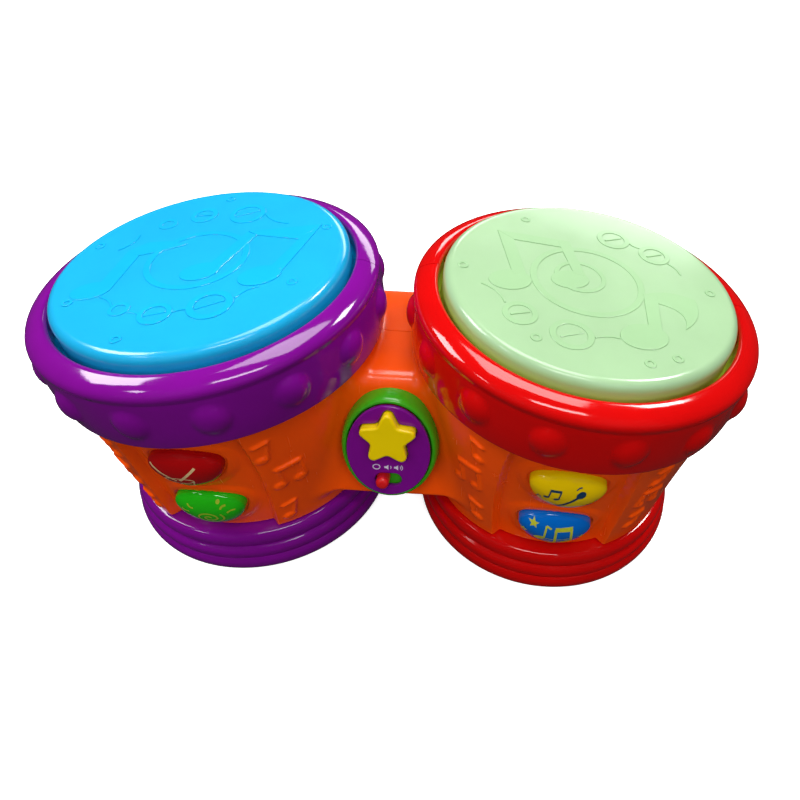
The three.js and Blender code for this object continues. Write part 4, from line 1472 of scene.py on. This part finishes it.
def build_buttons():
    looks = [
        ("red", "left", UPPER_H, BUTTON_RED, red_print, INK_CREAM, -1.4),
        ("green", "left", LOWER_H, BUTTON_GREEN, green_print, INK_LIME, 0.4),
        ("yellow", "right", UPPER_H, BUTTON_YELLOW, yellow_print, INK_NAVY, -1.8),
        ("blue", "right", LOWER_H, BUTTON_BLUE, blue_print, INK_YELLOW, -1.0),
    ]
    for name, side, h, material, draw, ink_material, aside in looks:
        matrix = panel_frame(SIDES[side], h)
        body = f"button_{name}"
        cap = placed(button_mesh(f"push_button_{name}"), matrix)
        dress(cap, material, body, body, [body])
        strokes, blots = [[PRINT_SCALE * part + (aside, PRINT_LIFT) for part in group] for group in draw()]
        print_on(f"button_print_{name}", strokes, blots, on_dome, ink_material, body, body, matrix)


# ---------------------------------------------------------------- control pod
def pod_bezel():
    """Oval collar round the control plate, thickest where it meets the bridge."""
    a, b = 18.9, 23.5
    section = [
        (3.2, -8.4), (3.0, -6.0), (2.6, -3.2), (2.1, -1.4), (1.3, -0.35), (0.6, -0.1), (0.1, -0.3),
        (-0.3, -1.2),
        (-0.3, -3.0), (-1.7, -3.1), (-1.7, -5.0), (-1.0, -5.2), (-1.0, -8.3),
    ]
    t = np.linspace(0, 2 * math.pi, 180, False)
    rows = []
    for out, n in catmull(section, 4, closed=False):
        rows.append(np.column_stack([(a + out) * np.cos(t), (b + out) * np.sin(t), np.full(len(t), n)]))
    rows.append(rows[0])
    return surface("control_bezel", np.array(rows), 50, wrap_v=True)


def slide_knob(name):
    """Round-topped knob with a slightly waisted side."""
    section = [(0.05, 6.0), (1.2, 5.95), (2.2, 5.6), (2.75, 4.9)]
    section += [(2.95, 4.0), (2.9, 2.6), (2.95, 1.2), (2.95, -2.3)]
    t = np.linspace(0, 2 * math.pi, 48, False)
    rows = [
        np.column_stack([r * np.cos(t), r * np.sin(t), np.full(len(t), n)])
        for r, n in catmull(section, 4, False)
    ]
    knob = surface(name, np.array(rows), 50, wrap_v=True)
    close_poles(knob)
    return knob


def shift_outline(outline, u, v):
    return [(x + u, y + v) for x, y in outline]


ICON_V = -8.0


def pod_icons():
    """Generic off ring, quiet speaker and loud speaker beside the switch."""
    strokes = [stroke(ring(-5.3, ICON_V, 1.55, 1.25, 0, 32), 0.42, step=0.2)]
    blots = []
    for x in (-0.9, 3.4):
        neck = [(-0.9, -0.5), (-0.1, -0.5), (-0.1, 0.5), (-0.9, 0.5)]
        horn = [(-0.1, -0.5), (0.9, -1.3), (0.9, 1.3), (-0.1, 0.5)]
        blots += [blot(dense_loop(shift_outline(outline, x, ICON_V), 3)) for outline in (neck, horn)]
    for x, count in ((0.3, 1), (4.6, 2)):
        for k in range(count):
            r = 0.9 + 0.75 * k
            arc = [(x + r * math.cos(a), ICON_V + r * math.sin(a)) for a in np.linspace(-0.9, 0.9, 9)]
            strokes.append(stroke(arc, 0.32, step=0.2))
    return strokes, blots


PLATE_TOP = 1.6


def build_pod():
    m = pod_frame()
    dress(placed(pod_bezel(), m), LIME, slot="bezel_green", replaces=["pod_bezel"])
    star = shift_outline(star_outline(STAR_RADIUS), 0, STAR_V)
    gap_star = shift_outline(star_outline(STAR_RADIUS + 0.45), 0, STAR_V)
    slot = slot_outline(11.8, 6.6, 0, SLOT_V)
    face = plate("control_plate", [ellipse_outline(18.4, 23.0), gap_star, slot], -0.7, PLATE_TOP, 0.55)
    dress(placed(face, m), PURPLE, slot="purple_trim", replaces=["pod_face"])
    cap = plate("star_cap", [star], -2.4, 5.4, 1.1, 50, 6)
    dress(placed(cap, m), YELLOW, "star_button", "star_yellow", ["star_button"])
    knob = slide_knob("switch_knob")
    knob.data.transform(Matrix.Translation((KNOB_U * MM, SLOT_V * MM, 0)))
    dress(placed(knob, m), KNOB, "slide_knob", "knob_red", ["slide_knob"])
    shoe = plate("switch_shoe", [shift_outline(slot_outline(14.5, 8.2), 0, SLOT_V)], -2.3, -1.2, 0.2)
    dress(placed(shoe, m), LIME, slot="bezel_green")
    strokes, blots = pod_icons()

    def height(u, v):
        return PLATE_TOP + 0.04 + 0 * u

    print_on("switch_icons", strokes, blots, height, INK_WHITE, "housing", None, m)


# ---------------------------------------------------------------- battery door and screws
def box_outline(cx, cy, w, h, r):
    left, right, low, high = cx - w / 2, cx + w / 2, cy - h / 2, cy + h / 2
    return rounded([(left, low), (right, low), (right, high), (left, high)], [r] * 4, 4)


def back_frame():
    """Frame on the bridge's back face: u to the viewer's right, v up, n backwards."""
    return local_frame(Vector((0, BRIDGE_BACK, 0)), Vector((-1, 0, 0)), Vector((0, 0, 1)))


def build_door():
    m = back_frame()
    mid = (DOOR["low"] + DOOR["high"]) / 2
    tall = DOOR["high"] - DOOR["low"]
    hole = ring(0, DOOR["screw"], 1.7, count=25)[:-1]
    outline = box_outline(0, mid, 2 * DOOR["x"], tall, 2.0)
    panel = plate("battery_cover", [outline, hole], -DOOR["thick"], 0.0, 0.35)
    dress(placed(panel, m), ORANGE, "battery_door", "orange_body", ["battery_door"])
    for i in range(4):
        outline = box_outline(0, 50.8 + 5 * i, 18, 1.7, 0.8)
        rib = plate(f"battery_cover_rib_{i + 1}", [outline], -0.4, 0.6, 0.3)
        dress(placed(rib, m), ORANGE, "battery_door", "orange_body")


def screw_head(name, radius, rise):
    """Pan head with a cross-shaped recess."""
    shares = np.linspace(0.02, 1, 26)
    t = np.linspace(0, 2 * math.pi, 72, False)
    r = (radius * shares)[:, None]
    x, y = r * np.cos(t), r * np.sin(t)
    top = rise * (1 - 0.55 * (r / radius) ** 3) + 0 * t
    arm, reach = radius * 0.16, radius * 0.62
    across = np.maximum(np.abs(x) - reach, np.abs(y) - arm)
    along = np.maximum(np.abs(x) - arm, np.abs(y) - reach)
    cross = np.minimum(along, across)
    z = top - 0.7 * rise * (1 - smooth(-0.12, 0.05, cross))
    rows = list(np.stack([x, y, z], -1))
    rim = np.column_stack([radius * np.cos(t), radius * np.sin(t)])
    rows.append(np.column_stack([rim, np.zeros(len(t))]))
    obj = surface(name, np.array(rows), 40, wrap_v=True)
    close_poles(obj)
    return obj


def build_screw_heads():
    back = back_frame() @ Matrix.Translation((0, DOOR["screw"], 0.3))
    head = placed(screw_head("battery_cover_screw", 2.8, 1.3), back)
    dress(head, STEEL, "battery_door", "steel", ["battery_door_screw"])


# ---------------------------------------------------------------- carried CAD nodes
CARRIED = {
    "deck_": WHITE, "head_board_": BOARD, "button_board_": BOARD, "pod_board": BOARD, "main_board": BOARD,
    "led_": LENS, "head_foam_": FOAM, "slide_switch": STEEL, "speaker_frame": STEEL, "speaker_cone": BLACK,
    "speaker_magnet": BLACK, "battery_contact": STEEL, "base_screw": STEEL,
    "shell_screw": STEEL, "battery_1": WRAP, "battery_2": WRAP, "battery_3": WRAP,
}


def dress_carried():
    for name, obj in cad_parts.items():
        look = next((m for start, m in CARRIED.items() if name.startswith(start)), None)
        if look is not None:
            obj.data.materials.clear()
            obj.data.materials.append(look)


# ---------------------------------------------------------------- studio
def unseen_by_light(obj):
    """The object neither bounces light onto the toy nor shows in its gloss."""
    obj.visible_diffuse = False
    obj.visible_glossy = False


def build_floor():
    soup = Soup()
    size = 4000.0
    soup.add([(-size, -size, 0), (size, -size, 0), (size, size, 0), (-size, size, 0)], [(0, 1, 2, 3)])
    floor = soup.piece("studio_floor", 0)
    material, tree, shader, coords = new_material("floor_look")
    cloud = noise(tree, coords, 3.0, 2.0)
    link(tree, mixed(tree, cloud, (0.90, 0.90, 0.90), (0.93, 0.93, 0.93)), shader.inputs["Base Color"])
    shader.inputs["Emission Color"].default_value = (1, 1, 1, 1)
    shader.inputs["Emission Strength"].default_value = 0.75
    shader.inputs["Roughness"].default_value = 0.9
    shader.inputs["Specular IOR Level"].default_value = 0.1
    floor.data.materials.append(material)
    unseen_by_light(floor)


def build_backdrop():
    """A pale round wall far out round the toy, for views that look along the floor."""
    angles = np.linspace(0, 2 * math.pi, 64, False)
    x, y = 3900 * np.cos(angles), 3900 * np.sin(angles)
    rows = [np.column_stack([x, y, 0 * angles + z]) for z in (-10, 4000)]
    wall = surface("studio_backdrop", np.array(rows), 0, wrap_v=True)
    material, tree, shader, coords = new_material("backdrop_look")
    cloud = noise(tree, coords, 0.6, 2.0)
    link(tree, mixed(tree, cloud, (0.88, 0.88, 0.88), (0.92, 0.92, 0.92)), shader.inputs["Emission Color"])
    shader.inputs["Emission Strength"].default_value = 1.0
    shader.inputs["Base Color"].default_value = (0, 0, 0, 1)
    wall.data.materials.append(material)
    unseen_by_light(wall)
    wall.visible_shadow = False


def area_light(name, location, target, size, power, size_y=None):
    data = bpy.data.lights.new(name, "AREA")
    data.energy = power
    data.shape = "RECTANGLE"
    data.size = size
    data.size_y = size if size_y is None else size_y
    obj = bpy.data.objects.new(name, data)
    bpy.context.scene.collection.objects.link(obj)
    obj.location = location
    obj.rotation_mode = "QUATERNION"
    obj.rotation_quaternion = (Vector(target) - Vector(location)).to_track_quat("-Z", "Y")
    return obj


def light_from(name, azimuth, elevation, distance, size, power, size_y=None):
    """An area light aimed at the toy; azimuth 0 is behind it and 90 on the player's right."""
    a, e = math.radians(azimuth), math.radians(elevation)
    away = Vector((math.sin(a) * math.cos(e), math.cos(a) * math.cos(e), math.sin(e)))
    target = Vector((0, 0, 0.1))
    return area_light(name, target + away * distance, target, size, power, size_y)


def build_light():
    world = bpy.data.worlds.new("studio")
    bpy.context.scene.world = world
    world.use_nodes = True
    world.node_tree.nodes["Background"].inputs["Color"].default_value = (1, 1, 1, 1)
    world.node_tree.nodes["Background"].inputs["Strength"].default_value = 0.03
    light_from("overhead", 10, 80, 1.3, 0.8, 11, 0.6)
    light_from("window_left", -82, 44, 1.3, 0.50, 9, 0.38)
    light_from("window_right", 58, 50, 1.3, 0.34, 8, 0.26)
    light_from("back", 8, 22, 1.5, 1.1, 6, 0.28)
    light_from("front_top", 172, 64, 1.4, 0.6, 4.0, 0.16)
    light_from("front_left", -121, 44, 1.4, 0.16, 0.8, 0.12)
    for azimuth in (145, 215):
        fill = light_from("front_fill", azimuth, 32, 1.3, 0.9, 6)
        fill.visible_glossy = False


def build_camera():
    """A wide lens close above the toy, looking down at it from the player's side."""
    pitch, yaw, roll = math.radians(40.53), math.radians(-1.233), math.radians(2.391)
    ahead = Vector((math.sin(yaw) * math.cos(pitch), math.cos(yaw) * math.cos(pitch), -math.sin(pitch)))
    right = ahead.cross(Vector((0, 0, 1))).normalized()
    up = right.cross(ahead)
    right, up = (
        right * math.cos(roll) + up * math.sin(roll),
        up * math.cos(roll) - right * math.sin(roll),
    )
    data = bpy.data.cameras.new("camera")
    data.sensor_width = 36.0
    data.lens = 31.424
    data.shift_x = -0.0875
    data.shift_y = -0.0738
    camera = bpy.data.objects.new("camera", data)
    bpy.context.scene.collection.objects.link(camera)
    matrix = Matrix((right, up, -ahead)).transposed().to_4x4()
    matrix.translation = (0.037932, -0.243476, 0.306270)
    camera.matrix_world = matrix
    bpy.context.scene.camera = camera
    bpy.context.scene.view_settings.view_transform = "Standard"


build_housing()
build_rims()
build_heads()
build_foam()
build_bases()
build_buttons()
build_pod()
build_door()
build_screw_heads()
dress_carried()
build_floor()
build_backdrop()
build_light()
build_camera()
